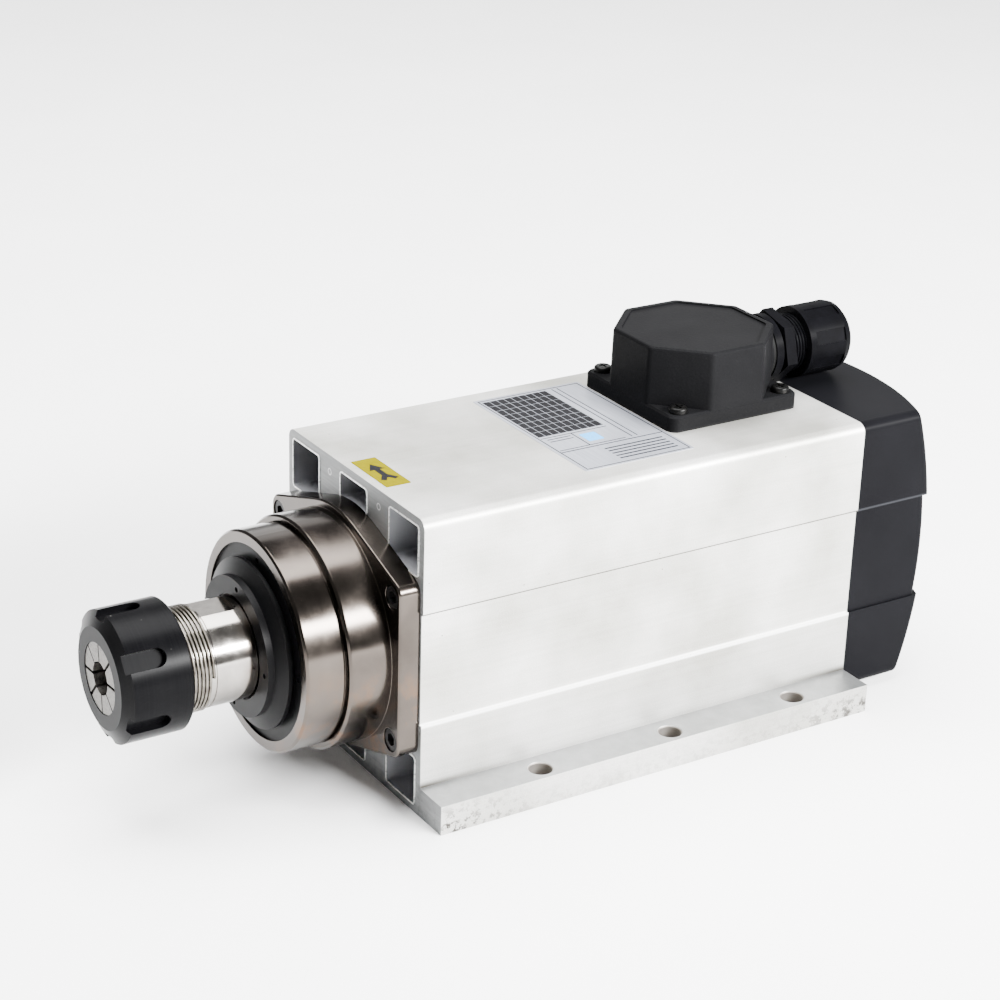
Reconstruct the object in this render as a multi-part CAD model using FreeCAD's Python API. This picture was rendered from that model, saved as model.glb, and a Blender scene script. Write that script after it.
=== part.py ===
import FreeCAD, Part
import math
import os

# Air-cooled square motor spindle, in millimetres.
# The origin is the middle of the six foot holes, on the underside. +Z is up and the nose points along -Y.

Vector = FreeCAD.Vector

# Fits
seat_gap = 0.02            # radial gap of pieces that are pressed or screwed together
running_gap = 0.05         # radial gap of pieces that turn or slide on each other
air_gap = 0.4              # between rotor and stator

# Square housing, one length of extrusion with its feet
body_width = 104.0
body_height = 120.0
body_length = 201.0
body_corner = 4.0
axis_height = body_height / 2
foot_ledge = 15.5          # how far each foot stands out
foot_width = body_width + 2 * foot_ledge
foot_thickness = 12.0
band_recess = 1.0          # the middle band of each side lies this far back
band_low = 38.0
band_high = 83.0
bore_radius = 42.5
wall = 3.5                 # outer wall round the air channels
channel_corner = 1.2
corner_channel_width = 21.0
corner_channel_start = 37.0    # above and below the spindle axis
middle_channel_width = 20.0
middle_channel_share = 5 / 7   # of the metal between the bore and the outer wall
foot_hole_radius = 4.5
foot_hole_chamfer = 0.5
foot_hole_edge = 6.8       # from the outer edge of the foot
foot_hole_spacing = foot_width - 2 * foot_hole_edge
foot_hole_pitch = 60.0
foot_hole_margin = 47.5    # from the front face to the first hole
wire_hole_radius = 6.0

# Flange screws, socket heads, alike at both ends
flange_screw_edge = 8.0    # from the side of the body
flange_screw_x = body_width / 2 - flange_screw_edge
flange_screw_z = 29.0
flange_screw_radius = 2.4
flange_screw_head = 4.25
flange_screw_head_height = 5.0
flange_screw_head_gap = 0.35
flange_screw_socket = 4.6  # across flats
flange_screw_socket_depth = 2.5
flange_screw_bite = 12.0   # length inside the extrusion
flange_screw_sink = 0.4    # how far the head lies below the flange face
screw_hole_end = 2.0       # how much deeper than its screw a blind hole is

# Front bearing housing
flange_thickness = 8.5
flange_inset = 2.0         # from the side of the body
flange_half_width = body_width / 2 - flange_inset
flange_half_height = 35.5
flange_arc = 48.0
flange_corner = 5.0
spigot_length = 8.0
rear_band_radius = 45.0
rear_band_end = 25.6       # lengths along the nose start at the extrusion's front face
groove_width = 1.2
groove_radius = 41.3
front_band_radius = 42.5
nose_length = 41.8
rim_chamfer = 0.8          # on the front edge of both bands
flange_chamfer = 0.6
ring_seat_radius = 37.8
ring_recess = 1.0
ring_bore = 30.4
ring_pin_circle = 33.4
pin_hole_radius = 1.1
pin_hole_depth = 3.0

# Front bearings, a pair side by side, and the rear bearing
bearing_radius = 31.0
bearing_bore = 17.5
bearing_width = 14.0
bearing_ring = 3.6         # radial thickness of inner and outer rings
bearing_end = 34.0         # front face of the front pair
rear_bearing_radius = 23.5
rear_bearing_bore = 12.5
rear_bearing_width = 12.0
rear_bearing_ring = 3.0
cage_sides = 16
cage_gap = 0.4
cage_margin = 1 / 6        # of the bearing's width, at each end of the cage
shoulder_step = 4.0        # the housing bore behind a bearing is this much smaller

# Labyrinth disc
disc_face = 49.6
disc_face_radius = 27.0
disc_face_height = 2.7
disc_radius = 32.8
disc_cone_height = 2.7
disc_lip = 1.4
disc_neck = 29.2
disc_bore = 20.1
disc_foot_height = 1.5     # the step that presses on the bearing's inner ring
disc_foot_step = 2.0
disc_pin_circle = 23.8
disc_pin_angle = -4.0
ring_pin_angle = 88.0

# Spindle shaft
shaft_end = 95.0
thread_root = 19.1
thread_radius = 20.0
thread_end = 66.0
neck_radius = 19.5
neck_flat = 18.5           # half the distance across the spanner flats
flat_end = 52.5
disc_seat_end = 47.5
middle_radius = 16.0
rear_step_radius = 14.0
fan_seat_radius = 8.0
shaft_tail = 2.0           # past the fan
taper_mouth = 16.4
taper_angle = 8.0
taper_depth = 34.0
relief_radius = 9.0
relief_depth = 45.0
locknut_radius = 24.0
locknut_width = 7.0
locknut_step = 1.0         # the nut's thread is this much smaller than the bearing seat

# Collet and collet nut
nut_radius = 25.0
nut_rear = 77.3
nut_front = 103.5
nut_chamfer_height = 2.7
nut_rear_chamfer = 0.8
nut_face_radius = 19.3
nut_slot_width = 7.2
nut_slot_floor = 22.3
nut_slot_end = 86.3
nut_slot_angle = 35.0
nut_slots = 6
collet_length = 40.0
collet_front = 103.2
collet_face_radius = 13.5
collet_cone_angle = 30.0
collet_cone_radius = 15.9
collet_groove_front = 98.2
collet_groove_rear = 95.7
collet_groove_radius = 14.2
collet_bore = 6.35
collet_slits = 8
collet_slit_angle = 4.0
wide_slit = 1.2
narrow_slit = 0.6
collet_uncut = 5.0
extractor_gap = 0.1        # along the axis, at each side of the nut's lip
extractor_clearance = 0.4

# Stator and rotor
core_start = 40.0          # behind the extrusion's front face
core_length = 100.0
rotor_radius = 24.5
winding_front = 20.0
winding_rear = 22.0
winding_inner = 28.0
winding_gap = 2.5          # round the winding heads, to the housing
winding_outer = bore_radius - winding_gap
end_ring_radius = 22.0
end_ring_length = 8.0

# Rear end: bearing shield, fan and cover
shield_thickness = 9.0
shield_inset = 3.8         # from the side of the body, inside the fan cover
shield_half_width = body_width / 2 - shield_inset
shield_bore = 14.0
shield_arc = body_height * 3 / 8
fan_start = 12.0           # behind the extrusion's rear face
fan_depth = 21.0
fan_rim_gap = 14.0         # from the body's mean half width to the rim
fan_radius = (body_width / 2 + axis_height) / 2 - fan_rim_gap
fan_hub_radius = 13.0
fan_plate = 2.0
fan_blades = 8
fan_blade = 2.0
fan_blade_margin = 2.0     # the blades end this far short of the hub and inside the plate's rim
cover_depth = 49.0
cover_wall = 2.2
cover_back_recess = 1.8    # the middle band of the cover's back lies this far in
cover_bottom = 3.0
cover_edge = 2.0
cover_plan_radius = 128.0
cover_side_radius = 200.0
cover_dome_half_height = body_height * 2 / 3   # reaches past the cover, above and below
cover_screw_x = 18.5
cover_screw_edge = 8.0     # below the top of the body, and above its underside
cover_screw_z = axis_height - cover_screw_edge
cover_screw_radius = 1.95
cover_screw_head = 3.5
cover_screw_head_height = 2.6
cover_screw_bite = 10.0
cover_screw_head_gap = 0.2
cover_boss = 5.2
cover_boss_seat = 8.0
grille_rows = 9
grille_columns = 2
grille_slot = 3.6
grille_pitch = 7.6
grille_slot_length = 32.0
grille_column_pitch = 38.0

# Terminal box and what is in it
box_x = -6.8
box_from_front = 158.0
box_width = 62.0
box_top_width = box_width - 1.0
box_height = 29.2
box_wall = 2.6
box_ear_height = 5.7
box_ear_corner = 4.0
box_ear_chamfer = 0.8
box_column_corner = 3.0
box_top_round = 1.2
box_top_steps = 3
box_panel_recess = 0.6
box_panel_margin = 3.0
gasket_thickness = 0.8
box_screw_x = 0.42 * box_width
box_screw_y = 0.403 * box_width
box_screw_radius = 1.9
box_screw_head = 3.7
box_screw_head_height = 2.4
box_screw_head_edge = 1.0
box_screw_bite = 3.0
block_length = 0.55 * box_width
block_width = 0.226 * box_width
block_height = 11.0
block_offset = 0.218 * box_width   # from the middle of the box, away from the wire hole
stud_count = 3
stud_pitch = 10.0
stud_radius = 1.9
stud_rise = 5.0

# Cable gland, on the rear face of the box
gland_rise = 15.1          # above the top of the extrusion
gland_entry = 9.9          # radius of the thread through the box wall
gland_thread = 12.0
gland_thread_root = 11.4
gland_seat = 13.8          # flat round pad on both sides of the box wall
gland_pad = 6.0            # from the pad's outer face to its inner one
gland_collar_radius = 14.0
gland_collar = 3.5
gland_washer_radius = 13.4
gland_washer = 1.5
gland_neck = 1.6
gland_hex_flats = 26.5
gland_hex = 5.0
gland_hex_angle = 16.0
gland_thread_length = 15.0
gland_bore = 8.0
gland_nut_radius = 14.8
gland_nut_gap = 6.9        # thread left in view
gland_nut_length = 23.0
gland_nut_round = 5.0
gland_nut_round_steps = 3
gland_nut_mouth = 8.4
gland_flutes = 8
gland_flute_width = 5.6
gland_flute_depth = 0.7
gland_flute_start = 3.0
gland_flute_angle = 20.0
gland_locknut_flats = 22.0
gland_locknut = 4.0
gland_locknut_angle = 30.0
gland_locknut_gap = 0.1
seal_bore = 6.2
seal_length = 16.0
seal_start = 1.0           # behind the hexagon

# Places that follow from these sizes
front_y = -(foot_hole_margin + foot_hole_pitch)
rear_y = front_y + body_length
half_width = body_width / 2
box_y = front_y + box_from_front
box_base_z = body_height + gasket_thickness
box_top_z = box_base_z + box_height
ear_z = box_base_z + box_ear_height
gland_z = body_height + gland_rise
gland_face = box_y + box_width / 2
gland_nut_start = gland_face + gland_washer + gland_collar + gland_neck + gland_hex + gland_nut_gap
locknut_seat = gland_face - gland_pad - gland_locknut_gap
ring_front = nose_length - ring_recess
bearing_start = bearing_end - 2 * bearing_width


def ahead(length):
    """Y of a point this far ahead of the extrusion's front face."""
    return front_y - length


def behind(length):
    """Y of a point this far behind the extrusion's rear face."""
    return rear_y + length


def turned(profile, x=0.0, z=axis_height):
    """Solid turned about a line along Y; the profile lists (y, radius)."""
    points = [Vector(x, y, z + radius) for y, radius in profile]
    face = Part.Face(Part.makePolygon(points + points[:1]))
    return face.revolve(Vector(x, 0, z), Vector(0, 1, 0), 360)


def rod(radius, start, end, x=0.0, z=axis_height):
    """Cylinder along Y between two stations."""
    low = min(start, end)
    return Part.makeCylinder(radius, abs(end - start), Vector(x, low, z), Vector(0, 1, 0))


def tube(outer, inner, start, end, x=0.0, z=axis_height):
    """Plain ring along Y."""
    return rod(outer, start, end, x, z).cut(rod(inner, start, end, x, z))


def block(x_low, x_high, y_low, y_high, z_low, z_high):
    """Box between two corners."""
    size = (x_high - x_low, y_high - y_low, z_high - z_low)
    return Part.makeBox(size[0], size[1], size[2], Vector(x_low, y_low, z_low))


def long_edges(shape, direction):
    """Straight edges that run along a direction."""
    found = []
    for edge in shape.Edges:
        if isinstance(edge.Curve, Part.Line) and abs(edge.Curve.Direction.dot(direction)) > 0.999:
            found.append(edge)
    return found


def prism(flats, start, end, sides, angle, x, z):
    """Regular bar along Y, turned so that one flat faces the given angle."""
    reach = flats / 2 / math.cos(math.pi / sides)
    points = []
    for index in range(sides):
        turn = math.radians(angle) + (index + 0.5) * 2 * math.pi / sides
        points.append(Vector(x + reach * math.cos(turn), start, z + reach * math.sin(turn)))
    face = Part.Face(Part.makePolygon(points + points[:1]))
    return face.extrude(Vector(0, end - start, 0))


def around(shape, angle):
    """Copy of a shape turned about the spindle axis."""
    copy = shape.copy()
    copy.rotate(Vector(0, 0, axis_height), Vector(0, 1, 0), -angle)
    return copy


def flange_screw_places():
    """Centres of the four flange screws."""
    return [(x, axis_height + z) for x in (-flange_screw_x, flange_screw_x)
            for z in (-flange_screw_z, flange_screw_z)]


def cover_screw_places():
    """Centres of the four fan cover screws."""
    return [(x, axis_height + z) for x in (-cover_screw_x, cover_screw_x)
            for z in (-cover_screw_z, cover_screw_z)]


def box_screw_places():
    """Centres of the four terminal box screws."""
    return [(box_x + x, box_y + y) for x in (-box_screw_x, box_screw_x)
            for y in (-box_screw_y, box_screw_y)]


def socket_screws(start, direction, plate):
    """Four socket-head screws through a plate; the heads' outer faces lie at start."""
    screws = []
    head_end = start + direction * flange_screw_head_height
    tip = start + direction * (plate - flange_screw_sink + flange_screw_bite)
    socket_end = start + direction * flange_screw_socket_depth
    for x, z in flange_screw_places():
        head = rod(flange_screw_head, start, head_end, x, z)
        screw = head.fuse(rod(flange_screw_radius, head_end, tip, x, z))
        screws.append(screw.cut(prism(flange_screw_socket, start, socket_end, 6, 0, x, z)))
    return screws


def flange_screws():
    """The screws of the nose flange and of the rear shield."""
    front = socket_screws(ahead(flange_thickness - flange_screw_sink), 1, flange_thickness)
    rear = socket_screws(behind(shield_thickness - flange_screw_sink), -1, shield_thickness)
    return Part.makeCompound(front + rear)


def bearing_outer(radius, ring, start, width):
    """Outer ring of a bearing."""
    return tube(radius, radius - ring, start, start + width)


def bearing_inner(bore, ring, start, width):
    """Inner ring of a bearing."""
    return tube(bore + ring, bore + seat_gap, start, start + width)


def bearing_cage(bore, radius, ring, start, width):
    """Ring of balls and their cage, one flat for each ball."""
    inner = bore + ring + cage_gap
    outer = radius - ring - cage_gap
    half_turn = math.cos(math.pi / cage_sides)
    margin = width * cage_margin
    low = start + margin
    high = start + width - margin
    ring_outer = prism(2 * outer * half_turn, low, high, cage_sides, 0, 0, axis_height)
    ring_inner = prism(2 * inner, low, high, cage_sides, 0, 0, axis_height)
    return ring_outer.cut(ring_inner)


def flange_outline(half_w, half_h, corner, arc, start, end):
    """Plate with four ears and a round middle, lying across the spindle axis."""
    reach_x = half_w - corner
    reach_z = half_h - corner
    span = math.hypot(reach_x, reach_z)
    lean = math.atan2(reach_z, reach_x)
    touch = lean + math.acos((arc - corner) / span)
    ear = (reach_x + corner * math.cos(touch), reach_z + corner * math.sin(touch))
    mid = (reach_x + corner * math.cos(touch / 2), reach_z + corner * math.sin(touch / 2))
    crown = (arc * math.cos(touch), arc * math.sin(touch))

    def at(x, z):
        return Vector(x, start, axis_height + z)

    edges = []
    for side in (1, -1):
        edges.append(Part.makeLine(at(side * half_w, -side * reach_z), at(side * half_w, side * reach_z)))
        edges.append(Part.Arc(at(side * half_w, side * reach_z), at(side * mid[0], side * mid[1]),
                              at(side * ear[0], side * ear[1])).toShape())
        edges.append(Part.makeLine(at(side * ear[0], side * ear[1]), at(side * crown[0], side * crown[1])))
        edges.append(Part.Arc(at(side * crown[0], side * crown[1]), at(0, side * arc),
                              at(-side * crown[0], side * crown[1])).toShape())
        edges.append(Part.makeLine(at(-side * crown[0], side * crown[1]), at(-side * ear[0], side * ear[1])))
        edges.append(Part.Arc(at(-side * ear[0], side * ear[1]), at(-side * mid[0], side * mid[1]),
                              at(-side * half_w, side * reach_z)).toShape())
    face = Part.Face(Part.Wire(Part.__sortEdges__(edges)))
    return face.extrude(Vector(0, end - start, 0))


def channels():
    """Six straight air channels round the stator bore."""
    top = body_height - axis_height - wall
    side = half_width - wall - band_recess / 2
    middle_channel_height = (top - bore_radius) * middle_channel_share
    cutters = []
    for up in (-1, 1):
        z_pair = sorted((up * (top - middle_channel_height), up * top))
        cutters.append(block(-middle_channel_width / 2, middle_channel_width / 2, front_y, rear_y,
                             axis_height + z_pair[0], axis_height + z_pair[1]))
        z_pair = sorted((up * corner_channel_start, up * top))
        for out in (-1, 1):
            x_pair = sorted((out * (side - corner_channel_width), out * side))
            cutters.append(block(x_pair[0], x_pair[1], front_y, rear_y,
                                 axis_height + z_pair[0], axis_height + z_pair[1]))
    return [cutter.makeFillet(channel_corner, long_edges(cutter, Vector(0, 1, 0))) for cutter in cutters]


def foot_hole_places():
    """Centres of the six foot holes."""
    return [(x, row * foot_hole_pitch) for x in (-foot_hole_spacing / 2, foot_hole_spacing / 2)
            for row in (-1, 0, 1)]


def housing_extrusion():
    """Square body with its feet, stepped sides, air channels and stator bore."""
    body = block(-half_width, half_width, front_y, rear_y, 0, body_height)
    top_edges = [edge for edge in long_edges(body, Vector(0, 1, 0)) if edge.BoundBox.ZMin > axis_height]
    body = body.makeFillet(body_corner, top_edges)
    for out in (-1, 1):
        x_pair = sorted((out * (half_width - band_recess), out * (half_width + band_recess)))
        body = body.cut(block(x_pair[0], x_pair[1], front_y, rear_y, band_low, band_high))
    body = body.fuse(block(-foot_width / 2, foot_width / 2, front_y, rear_y, 0, foot_thickness))
    cutters = [rod(bore_radius, front_y, rear_y)]
    cutters.extend(channels())
    hole_top = foot_thickness - foot_hole_chamfer
    for x, y in foot_hole_places():
        cutters.append(Part.makeCylinder(foot_hole_radius, foot_thickness, Vector(x, y, 0)))
        cutters.append(Part.makeCone(foot_hole_radius, foot_hole_radius + foot_hole_chamfer,
                                     foot_hole_chamfer, Vector(x, y, hole_top)))
    flange_hole = flange_screw_bite + screw_hole_end
    for x, z in flange_screw_places():
        cutters.append(rod(flange_screw_radius + seat_gap, front_y, front_y + flange_hole, x, z))
        cutters.append(rod(flange_screw_radius + seat_gap, rear_y, rear_y - flange_hole, x, z))
    cover_hole = cover_screw_bite + screw_hole_end
    for x, z in cover_screw_places():
        cutters.append(rod(cover_screw_radius + seat_gap, rear_y, rear_y - cover_hole, x, z))
    for x, y in box_screw_places():
        cutters.append(Part.makeCylinder(box_screw_radius + seat_gap, box_screw_bite + seat_gap,
                                         Vector(x, y, body_height - box_screw_bite - seat_gap)))
    cutters.append(Part.makeCylinder(wire_hole_radius, body_height - axis_height,
                                     Vector(0, box_y, axis_height)))
    return body.cut(cutters).removeSplitter()


def stator_core():
    """Laminated stator, pressed into the bore."""
    start = front_y + core_start
    return tube(bore_radius - seat_gap, rotor_radius + air_gap, start, start + core_length)


def stator_windings():
    """Winding heads at both ends of the stator core."""
    start = front_y + core_start
    end = start + core_length
    heads = [tube(winding_outer, winding_inner, start - winding_front, start),
             tube(winding_outer, winding_inner, end, end + winding_rear)]
    return Part.makeCompound(heads)


def rotor_core():
    """Rotor with its cast short-circuit rings, shrunk on the shaft."""
    start = front_y + core_start
    end = start + core_length
    bore = middle_radius + seat_gap
    return turned([(start - end_ring_length, bore), (start - end_ring_length, end_ring_radius),
                   (start, end_ring_radius), (start, rotor_radius), (end, rotor_radius),
                   (end, end_ring_radius), (end + end_ring_length, end_ring_radius),
                   (end + end_ring_length, bore)])


def front_bearing_housing():
    """Nickel-plated nose with its eared flange, bored for the front bearings."""
    groove_end = rear_band_end + groove_width
    shoulder_radius = bearing_radius - shoulder_step
    nose = turned([(ahead(0), 0), (ahead(0), rear_band_radius),
                   (ahead(rear_band_end - rim_chamfer), rear_band_radius),
                   (ahead(rear_band_end), rear_band_radius - rim_chamfer),
                   (ahead(rear_band_end), groove_radius), (ahead(groove_end), groove_radius),
                   (ahead(groove_end), front_band_radius),
                   (ahead(nose_length - rim_chamfer), front_band_radius),
                   (ahead(nose_length), front_band_radius - rim_chamfer), (ahead(nose_length), 0)])
    plate = flange_outline(flange_half_width, flange_half_height, flange_corner, flange_arc,
                           ahead(0), ahead(flange_thickness))
    front_edges = [edge for edge in plate.Edges if edge.BoundBox.YMax < ahead(flange_thickness / 2)]
    plate = plate.makeChamfer(flange_chamfer, front_edges)
    spigot = rod(bore_radius - seat_gap, ahead(0), ahead(-spigot_length))
    bore = turned([(ahead(nose_length), 0), (ahead(nose_length), ring_seat_radius),
                   (ahead(bearing_end), ring_seat_radius), (ahead(bearing_end), bearing_radius),
                   (ahead(bearing_start), bearing_radius), (ahead(bearing_start), shoulder_radius),
                   (ahead(-spigot_length), shoulder_radius), (ahead(-spigot_length), 0)])
    cutters = [bore]
    head_seat = flange_thickness - flange_screw_head_height - flange_screw_sink
    for x, z in flange_screw_places():
        cutters.append(rod(flange_screw_radius + seat_gap, ahead(0), ahead(flange_thickness), x, z))
        cutters.append(rod(flange_screw_head + flange_screw_head_gap, ahead(head_seat),
                           ahead(flange_thickness), x, z))
    return nose.fuse([plate, spigot]).cut(cutters).removeSplitter()


def bearing_retaining_ring():
    """Black threaded ring that holds the front bearings' outer rings, with pin-wrench holes."""
    ring = tube(ring_seat_radius - seat_gap, ring_bore, ahead(ring_front), ahead(bearing_end))
    return ring.cut(pin_holes(ring_pin_circle, ring_front, ring_pin_angle))


def pin_holes(circle, face, angle):
    """Four blind holes for a pin wrench."""
    hole = rod(pin_hole_radius, ahead(face), ahead(face - pin_hole_depth), circle, axis_height)
    return [around(hole, angle + quarter * 90) for quarter in range(4)]


def labyrinth_disc():
    """Stepped black disc that turns with the shaft and covers the front bearings."""
    cone_start = disc_face - disc_face_height
    lip_front = cone_start - disc_cone_height
    lip_rear = lip_front - disc_lip
    foot_radius = bearing_bore + bearing_ring
    foot_start = bearing_end + disc_foot_height
    disc = turned([(ahead(disc_face), disc_bore + seat_gap), (ahead(disc_face), disc_face_radius),
                   (ahead(cone_start), disc_face_radius), (ahead(lip_front), disc_radius),
                   (ahead(lip_rear), disc_radius), (ahead(lip_rear), disc_neck),
                   (ahead(foot_start), disc_neck), (ahead(foot_start), foot_radius + disc_foot_step),
                   (ahead(bearing_end), foot_radius), (ahead(bearing_end), disc_bore + seat_gap)])
    return disc.cut(pin_holes(disc_pin_circle, disc_face, disc_pin_angle))


def front_bearing_ends():
    """Front faces of the two front bearings."""
    return [ahead(bearing_end), ahead(bearing_end - bearing_width)]


def bearing_outer_rings():
    """Outer rings of the two front bearings and of the rear bearing."""
    rings = [bearing_outer(bearing_radius - seat_gap, bearing_ring, end, bearing_width)
             for end in front_bearing_ends()]
    rings.append(bearing_outer(rear_bearing_radius - seat_gap, rear_bearing_ring,
                               behind(-spigot_length), rear_bearing_width))
    return Part.makeCompound(rings)


def bearing_inner_rings():
    """Inner rings of the two front bearings and of the rear bearing."""
    rings = [bearing_inner(bearing_bore, bearing_ring, end, bearing_width)
             for end in front_bearing_ends()]
    rings.append(bearing_inner(rear_bearing_bore, rear_bearing_ring,
                               behind(-spigot_length), rear_bearing_width))
    return Part.makeCompound(rings)


def front_bearing_cages():
    """Ball cages of the two front bearings."""
    return Part.makeCompound([bearing_cage(bearing_bore, bearing_radius, bearing_ring, end, bearing_width)
                              for end in front_bearing_ends()])


def rear_bearing_cage():
    """Ball cage of the rear bearing."""
    return bearing_cage(rear_bearing_bore, rear_bearing_radius, rear_bearing_ring,
                        behind(-spigot_length), rear_bearing_width)


def shaft_locknut():
    """Nut that clamps the front bearings' inner rings against the shaft shoulder."""
    start = ahead(bearing_start)
    return tube(locknut_radius, bearing_bore - locknut_step + seat_gap, start, start + locknut_width)


def collet_seat():
    """Tapered seat of the collet and the relief behind it."""
    shrink = taper_depth * math.tan(math.radians(taper_angle))
    taper_end = ahead(shaft_end - taper_depth)
    relief_end = ahead(shaft_end - relief_depth)
    return turned([(ahead(shaft_end), 0), (ahead(shaft_end), taper_mouth), (taper_end, taper_mouth - shrink),
                   (taper_end, relief_radius), (relief_end, relief_radius), (relief_end, 0)])


def spindle_shaft():
    """One-piece shaft from the collet seat to the fan seat."""
    rotor_end = front_y + core_start + core_length + end_ring_length
    bearing_face = behind(-spigot_length)
    locknut_end = ahead(bearing_start) + locknut_width
    fan_end = behind(fan_start + fan_depth + shaft_tail)
    shaft = turned([(ahead(shaft_end), 0), (ahead(shaft_end), thread_root), (ahead(thread_end), thread_root),
                    (ahead(thread_end), neck_radius), (ahead(disc_seat_end), neck_radius),
                    (ahead(disc_seat_end), disc_bore), (ahead(bearing_end), disc_bore),
                    (ahead(bearing_end), bearing_bore), (ahead(bearing_start), bearing_bore),
                    (ahead(bearing_start), bearing_bore - locknut_step),
                    (locknut_end, bearing_bore - locknut_step),
                    (locknut_end, middle_radius), (rotor_end, middle_radius),
                    (rotor_end, rear_step_radius), (bearing_face, rear_step_radius),
                    (bearing_face, rear_bearing_bore),
                    (bearing_face + rear_bearing_width, rear_bearing_bore),
                    (bearing_face + rear_bearing_width, fan_seat_radius),
                    (fan_end, fan_seat_radius), (fan_end, 0)])
    cutters = [collet_seat()]
    for up in (-1, 1):
        z_pair = sorted((up * neck_flat, up * 2 * neck_radius))
        cutters.append(block(-neck_radius, neck_radius, ahead(thread_end), ahead(flat_end),
                             axis_height + z_pair[0], axis_height + z_pair[1]))
    return shaft.cut(cutters)


def collet():
    """Slit spring collet, seated in the shaft's taper."""
    rise = math.tan(math.radians(collet_cone_angle))
    cone_rear = collet_front - (collet_cone_radius - collet_face_radius) / rise
    rear = collet_front - collet_length
    slope = math.tan(math.radians(taper_angle))
    mouth = taper_mouth - running_gap
    body = turned([(ahead(collet_front), collet_bore), (ahead(collet_front), collet_face_radius),
                   (ahead(cone_rear), collet_cone_radius), (ahead(collet_groove_front), collet_cone_radius),
                   (ahead(collet_groove_front), collet_groove_radius),
                   (ahead(collet_groove_rear), collet_groove_radius), (ahead(collet_groove_rear), mouth),
                   (ahead(shaft_end), mouth), (ahead(rear), mouth - (shaft_end - rear) * slope),
                   (ahead(rear), collet_bore)])
    cutters = []
    for index in range(collet_slits):
        angle = collet_slit_angle + index * 360 / collet_slits
        width = wide_slit if index % (collet_slits // 2) < collet_slits // 4 else narrow_slit
        slit = block(0, nut_radius, ahead(collet_front), ahead(rear + collet_uncut),
                     axis_height - width / 2, axis_height + width / 2)
        cutters.append(around(slit, angle))
    return body.cut(cutters)


def collet_nut():
    """Black slotted clamping nut with the extractor lip that pulls the collet."""
    rise = math.tan(math.radians(collet_cone_angle))
    cone_gap = running_gap / math.cos(math.radians(collet_cone_angle))
    cone_top = collet_cone_radius + cone_gap
    cone_front = collet_face_radius + cone_gap
    cone_rear = collet_front - (cone_top - cone_front) / rise
    lip_front = collet_groove_front - extractor_gap
    lip_rear = collet_groove_rear + extractor_gap
    lip_bore = collet_groove_radius + extractor_clearance
    nut = turned([(ahead(nut_rear), thread_radius + running_gap),
                  (ahead(nut_rear), nut_radius - nut_rear_chamfer),
                  (ahead(nut_rear + nut_rear_chamfer), nut_radius),
                  (ahead(nut_front - nut_chamfer_height), nut_radius), (ahead(nut_front), nut_face_radius),
                  (ahead(nut_front), cone_front), (ahead(collet_front), cone_front),
                  (ahead(cone_rear), cone_top), (ahead(lip_front), cone_top),
                  (ahead(lip_front), lip_bore), (ahead(lip_rear), lip_bore),
                  (ahead(lip_rear), thread_radius + running_gap)])
    cutters = []
    half = nut_slot_width / 2
    for index in range(nut_slots):
        slot = block(nut_slot_floor, 2 * nut_radius, ahead(nut_front), ahead(nut_slot_end + half),
                     axis_height - half, axis_height + half)
        round_centre = Vector(nut_slot_floor, ahead(nut_slot_end + half), axis_height)
        slot_round = Part.makeCylinder(half, nut_radius, round_centre, Vector(1, 0, 0))
        cutters.append(around(slot.fuse(slot_round), nut_slot_angle + index * 360 / nut_slots))
    return nut.cut(cutters)


def rear_bearing_shield():
    """End shield that carries the rear bearing, screwed to the extrusion."""
    plate = flange_outline(shield_half_width, flange_half_height, flange_corner, shield_arc,
                           behind(0), behind(shield_thickness))
    spigot = rod(bore_radius - seat_gap, behind(-spigot_length), behind(0))
    seat_end = rear_bearing_width - spigot_length
    bore = turned([(behind(-spigot_length), 0), (behind(-spigot_length), rear_bearing_radius),
                   (behind(seat_end), rear_bearing_radius), (behind(seat_end), shield_bore),
                   (behind(shield_thickness), shield_bore), (behind(shield_thickness), 0)])
    cutters = [bore]
    head_seat = shield_thickness - flange_screw_head_height - flange_screw_sink
    for x, z in flange_screw_places():
        cutters.append(rod(flange_screw_radius + seat_gap, behind(0), behind(shield_thickness), x, z))
        cutters.append(rod(flange_screw_head + flange_screw_head_gap, behind(head_seat),
                           behind(shield_thickness), x, z))
    return plate.fuse(spigot).cut(cutters).removeSplitter()


def cooling_fan():
    """Radial fan with straight blades on a back plate."""
    start = behind(fan_start)
    end = behind(fan_start + fan_depth)
    fan = rod(fan_hub_radius, start, end).fuse(rod(fan_radius, start, start + fan_plate))
    blade = block(fan_hub_radius - fan_blade, fan_radius - fan_blade_margin, start, end - fan_blade_margin,
                  axis_height - fan_blade / 2, axis_height + fan_blade / 2)
    fan = fan.fuse([around(blade, index * 360 / fan_blades) for index in range(fan_blades)])
    return fan.cut(rod(fan_seat_radius + seat_gap, start, end)).removeSplitter()


def cover_dome(inset):
    """Body that bulges towards the rear, more in plan than from the side."""
    plan = cover_plan_radius - inset
    side = cover_side_radius - inset
    centre_y = behind(cover_depth - cover_plan_radius)
    centre_z = (body_height + cover_bottom) / 2
    half = cover_dome_half_height
    waist = plan - side + math.sqrt(side * side - half * half)
    low = Vector(waist, centre_y, centre_z - half)
    high = Vector(waist, centre_y, centre_z + half)
    axis_low = Vector(0, centre_y, centre_z - half)
    axis_high = Vector(0, centre_y, centre_z + half)
    arc = Part.Arc(low, Vector(plan, centre_y, centre_z), high).toShape()
    wire = Part.Wire([Part.makeLine(axis_low, low), arc, Part.makeLine(high, axis_high),
                      Part.makeLine(axis_high, axis_low)])
    return Part.Face(wire).revolve(Vector(0, centre_y, 0), Vector(0, 0, 1), 360)


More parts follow.
